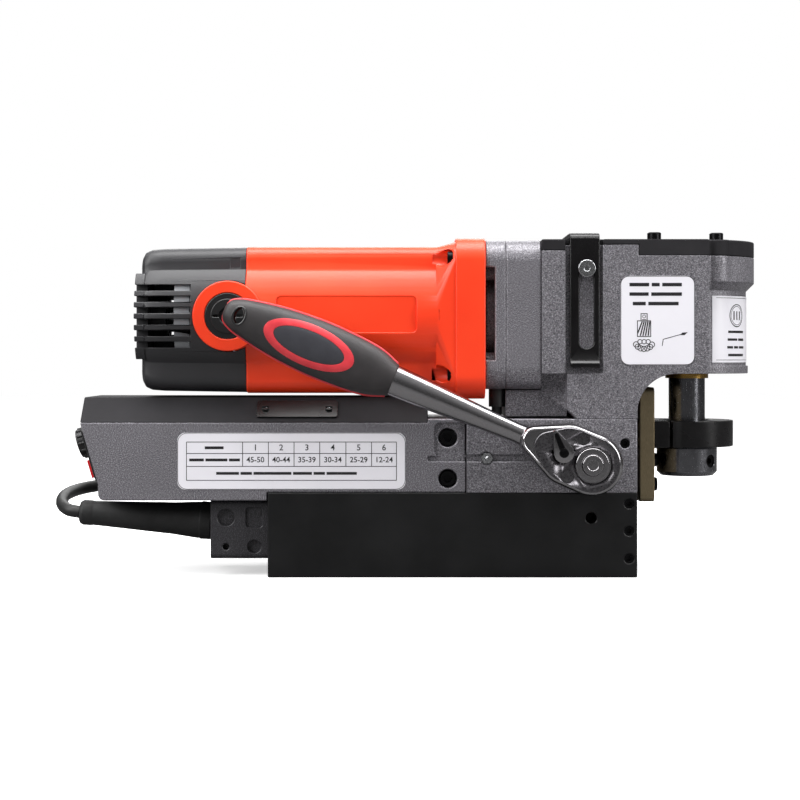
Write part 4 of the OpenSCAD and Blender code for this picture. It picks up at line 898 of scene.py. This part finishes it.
def printNoseLabel():
    ink = Ink(inkDepth)
    r = noseLabel["radius"]
    for radius, width in noseLabel["badgeRings"]:
        ink.ring(noseLabel["badge"], radius, width, 40)
    for k in range(3):
        ink.stroke((-3.0 + 3.0 * k, 5.8), (-3.0 + 3.0 * k, 11.2), 1.1)
    for v, words in noseLabel["words"]:
        ink.blankWords(-8 - 0.4 * len(words), 8 + 0.4 * len(words), v, 1.5, words)
    for corners in noseLabel["rules"]:
        ink.bar(*corners)

    def wrap(u, v, h):
        a = math.radians(noseLabel["turn"]) + u / r
        return (spindleX + (r + h) * math.cos(a), (r + h) * math.sin(a), noseLabel["height"] + v)

    ink.lay("nose_label_print", wrap, "base_unit")


printSpeedTable()
printCaseLabel()
printNoseLabel()
print("labels printed")

# ---- screws, from one Geometry Nodes tree ----


# A cap screw: a disc drawn up into a chamfered head, a six-sided socket pressed in and a plain shank below
def screwTree():
    tree = bpy.data.node_groups.new("capScrews", "GeometryNodeTree")
    face = tree.interface
    face.new_socket("Places", in_out="INPUT", socket_type="NodeSocketGeometry")
    for name in ("Radius", "Height", "Chamfer", "Socket", "Depth", "Shank", "Length"):
        face.new_socket(name, in_out="INPUT", socket_type="NodeSocketFloat")
    face.new_socket("Finish", in_out="INPUT", socket_type="NodeSocketMaterial")
    face.new_socket("Screws", in_out="OUTPUT", socket_type="NodeSocketGeometry")
    given = tree.nodes.new("NodeGroupInput").outputs
    disc = addNode(tree, "GeometryNodeMeshCircle", {"fill_type": "NGON"}, Vertices=36,
                   Radius=given["Radius"])

    def pull(mesh, selection, distance):
        node = addNode(tree, "GeometryNodeExtrudeMesh", {"mode": "FACES"}, Mesh=mesh, Offset_Scale=distance)
        if selection is not None:
            tree.links.new(selection, node.inputs["Selection"])
        return node.outputs["Mesh"], node.outputs["Top"]

    def maths(operation, a, b=0.0):
        return addNode(tree, "ShaderNodeMath", {"operation": operation}, _0=a, _1=b).outputs[0]

    def scaled(mesh, selection, ratio):
        return addNode(tree, "GeometryNodeScaleElements", {"domain": "FACE"}, Geometry=mesh,
                       Selection=selection, Scale=ratio).outputs["Geometry"]

    mesh, top = pull(disc.outputs["Mesh"], None, maths("SUBTRACT", given["Height"], given["Chamfer"]))
    mesh, top = pull(mesh, top, given["Chamfer"])
    crown = maths("SUBTRACT", given["Radius"], given["Chamfer"])
    mesh = scaled(mesh, top, maths("DIVIDE", crown, given["Radius"]))
    mesh, top = pull(mesh, top, 0.0)
    mesh = scaled(mesh, top, maths("DIVIDE", given["Socket"], crown))
    # the socket's round edge is pulled in to six flats
    place = addNode(tree, "GeometryNodeInputPosition").outputs[0]
    parts = addNode(tree, "ShaderNodeSeparateXYZ", Vector=place).outputs
    angle = maths("ARCTAN2", parts["Y"], parts["X"])
    within = maths("SUBTRACT", maths("FLOORED_MODULO", angle, math.pi / 3), math.pi / 6)
    ratio = maths("DIVIDE", math.cos(math.pi / 6), maths("COSINE", within))
    factor = addNode(tree, "ShaderNodeCombineXYZ", X=ratio, Y=ratio, Z=1.0).outputs[0]
    pulled = addNode(tree, "ShaderNodeVectorMath", {"operation": "MULTIPLY"}, _0=place, _1=factor)
    mesh = addNode(tree, "GeometryNodeSetPosition", Geometry=mesh, Selection=top,
                   Position=pulled.outputs[0]).outputs[0]
    mesh, top = pull(mesh, top, maths("MULTIPLY", given["Depth"], -1.0))
    under = addNode(tree, "GeometryNodeFlipFaces", Mesh=disc.outputs["Mesh"]).outputs[0]
    shank = addNode(tree, "GeometryNodeMeshCylinder", Vertices=24, Radius=given["Shank"],
                    Depth=given["Length"])
    down = addNode(tree, "ShaderNodeCombineXYZ", Z=maths("MULTIPLY", given["Length"], -0.5)).outputs[0]
    lowered = addNode(tree, "GeometryNodeTransform", Geometry=shank.outputs["Mesh"],
                      Translation=down).outputs[0]
    joined = addNode(tree, "GeometryNodeJoinGeometry")
    for piece in (mesh, under, lowered):
        tree.links.new(piece, joined.inputs[0])
    facing = addNode(tree, "GeometryNodeInputNamedAttribute", {"data_type": "FLOAT_VECTOR"}, Name="facing")
    turned = addNode(tree, "FunctionNodeAlignRotationToVector", {"axis": "Z"},
                     Vector=facing.outputs["Attribute"])
    many = addNode(tree, "GeometryNodeInstanceOnPoints", Points=given["Places"], Instance=joined.outputs[0],
                   Rotation=turned.outputs["Rotation"])
    real = addNode(tree, "GeometryNodeRealizeInstances", Geometry=many.outputs["Instances"])
    done = addNode(tree, "GeometryNodeSetMaterial", Geometry=real.outputs[0], Material=given["Finish"])
    out = tree.nodes.new("NodeGroupOutput")
    tree.links.new(done.outputs[0], out.inputs["Screws"])
    return tree


def islandBoxes(node):
    bm = bmesh.new()
    bm.from_mesh(nodes[node].data)
    bmesh.ops.remove_doubles(bm, verts=bm.verts, dist=2e-6)
    seen, boxes = set(), []
    for start in bm.verts:
        if start in seen:
            continue
        seen.add(start)
        group, todo = [], [start]
        while todo:
            vert = todo.pop()
            group.append(vert.co.copy())
            for edge in vert.link_edges:
                other = edge.other_vert(vert)
                if other not in seen:
                    seen.add(other)
                    todo.append(other)
        boxes.append([Vector([f(p[i] for p in group) for i in range(3)]) for f in (min, max)])
    bm.free()
    return boxes


def runTree(tree, places, facings, values, name):
    data = bpy.data.meshes.new(name)
    data.from_pydata([tuple(p) for p in places], [], [])
    facing = data.attributes.new("facing", "FLOAT_VECTOR", "POINT")
    for item, direction in zip(facing.data, facings):
        item.vector = direction
    obj = bpy.data.objects.new(name, data)
    bpy.context.scene.collection.objects.link(obj)
    modifier = obj.modifiers.new("tree", "NODES")
    modifier.node_group = tree
    for item in tree.interface.items_tree:
        if item.in_out == "INPUT" and item.name in values:
            modifier[item.identifier] = values[item.name]
    bakeModifiers(obj)
    return obj


# node: body, side the head is on, head radius, head height, thread, across the socket
capScrews = {
    "housing_screws": ("base_unit", "out", 5.0, 6.0, 6.0, 5.0),
    "cap_screws": ("base_unit", "top", 4.25, 4.4, 5.0, 4.0),
    "slide_screws": ("feed_slide", "front", 4.25, 4.6, 5.0, 4.0),
}


def makeScrews(tree, node, body, side, radius, height, thread, across):
    bm = bmesh.new()
    for low, high in islandBoxes(node):
        size, middle = high - low, (low + high) / 2
        axis = max(range(3), key=lambda i: size[i])
        way = Vector((0, 0, 0))
        way[axis] = 1
        if side == "out" and middle.y < 0 or side == "top" and axis == 0:
            way[axis] = -1
        if side == "front" and abs(middle.y) > 15 * mm:
            way[axis] = -1
        top = middle.copy()
        top[axis] = (high if way[axis] > 0 else low)[axis]
        values = {"Radius": radius * mm, "Height": height * mm, "Chamfer": 0.5 * mm,
                  "Depth": 0.6 * height * mm, "Socket": across / math.sqrt(3) * mm, "Shank": thread / 2 * mm,
                  "Length": size[axis] - height * mm, "Finish": looks[slotOf[node]]}
        one = runTree(tree, [top - way * height * mm], [way], values, node + "_one")
        bm.from_mesh(one.data)
        bpy.data.objects.remove(one)
    obj = objectFrom(bm, node + "_turned", 30)
    obj.data.materials.append(looks[slotOf[node]])
    finishPiece(obj, body, [node])


screwMaker = screwTree()
for node, facts in capScrews.items():
    makeScrews(screwMaker, node, *facts)


# domed screws of the access plate, lying on the sloping side of the cover
def makePlateScrews():
    low, high = [Vector(c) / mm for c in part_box("access_plate")]
    middle = (low + high) / 2
    bm = bmesh.new()
    for side in (-1, 1):
        rings = []
        for r, rise in [(2.25, -1.2), (2.3, 0.2), (2.1, 0.75), (1.6, 1.15), (0.9, 1.32), (0.3, 1.36)]:
            rings.append([(middle.x + side * 19.5 + r * math.cos(a), r * math.sin(a), rise)
                          for a in around(32)])
        loft(bm, rings)
    place = Matrix.Scale(mm, 4) @ Matrix.Translation((0, middle.y - 0.05, middle.z + 0.05)) \
        @ Matrix.Rotation(math.radians(45), 4, "X")
    finishPiece(finishBmesh(bm, "plate_screws", place, looks["zinc_screws"]), "base_unit")


makePlateScrews()
print("screws placed")

# ---- the lead's own pieces ----

leadObject.data.materials.append(looks["cord_sheath"])
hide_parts("mains_cord", "cord_coil")
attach(leadObject, "base_unit")

# ---- studio ----


def makeStudio():
    bm = bmesh.new()
    bmesh.ops.create_grid(bm, x_segments=1, y_segments=1, size=5.0)
    floor = objectFrom(bm, "floor")
    mat, tree, shader, _ = newMaterial("studio_floor")
    shader.inputs["Base Color"].default_value = colour(studio["floorTone"])
    shader.inputs["Roughness"].default_value = 0.8
    shader.inputs["Emission Color"].default_value = colour("#ffffff")
    shader.inputs["Emission Strength"].default_value = studio["floorGlow"]
    # the parts stand in a dim room, so that black paint stays black
    dim = addNode(tree, "ShaderNodeBsdfDiffuse", Color=colour(studio["floorSeenByParts"])).outputs[0]
    seen = addNode(tree, "ShaderNodeLightPath").outputs["Is Camera Ray"]
    both = addNode(tree, "ShaderNodeMixShader", _0=seen, _1=dim, _2=shader.outputs[0]).outputs[0]
    tree.links.new(both, tree.nodes["Material Output"].inputs["Surface"])
    floor.data.materials.append(mat)
    world = bpy.data.worlds.new("studio")
    bpy.context.scene.world = world
    world.use_nodes = True
    tree = world.node_tree
    sky = addNode(tree, "ShaderNodeTexCoord").outputs["Generated"]
    height = addNode(tree, "ShaderNodeSeparateXYZ", Vector=sky).outputs["Z"]
    room = ramp(tree, addNode(tree, "ShaderNodeMath", {"operation": "MULTIPLY_ADD"}, _0=height, _1=0.5,
                              _2=0.5).outputs[0], studio["room"])
    seen = addNode(tree, "ShaderNodeLightPath").outputs["Is Camera Ray"]
    tree.links.new(mix(tree, seen, room, (1, 1, 1, 1)), tree.nodes["Background"].inputs["Color"])
    for name, place, target, size, power in studio["lamps"]:
        areaLight(name, place, target, size, power)
    bpy.context.scene.view_settings.view_transform = "Standard"


makeStudio()
print("finished")
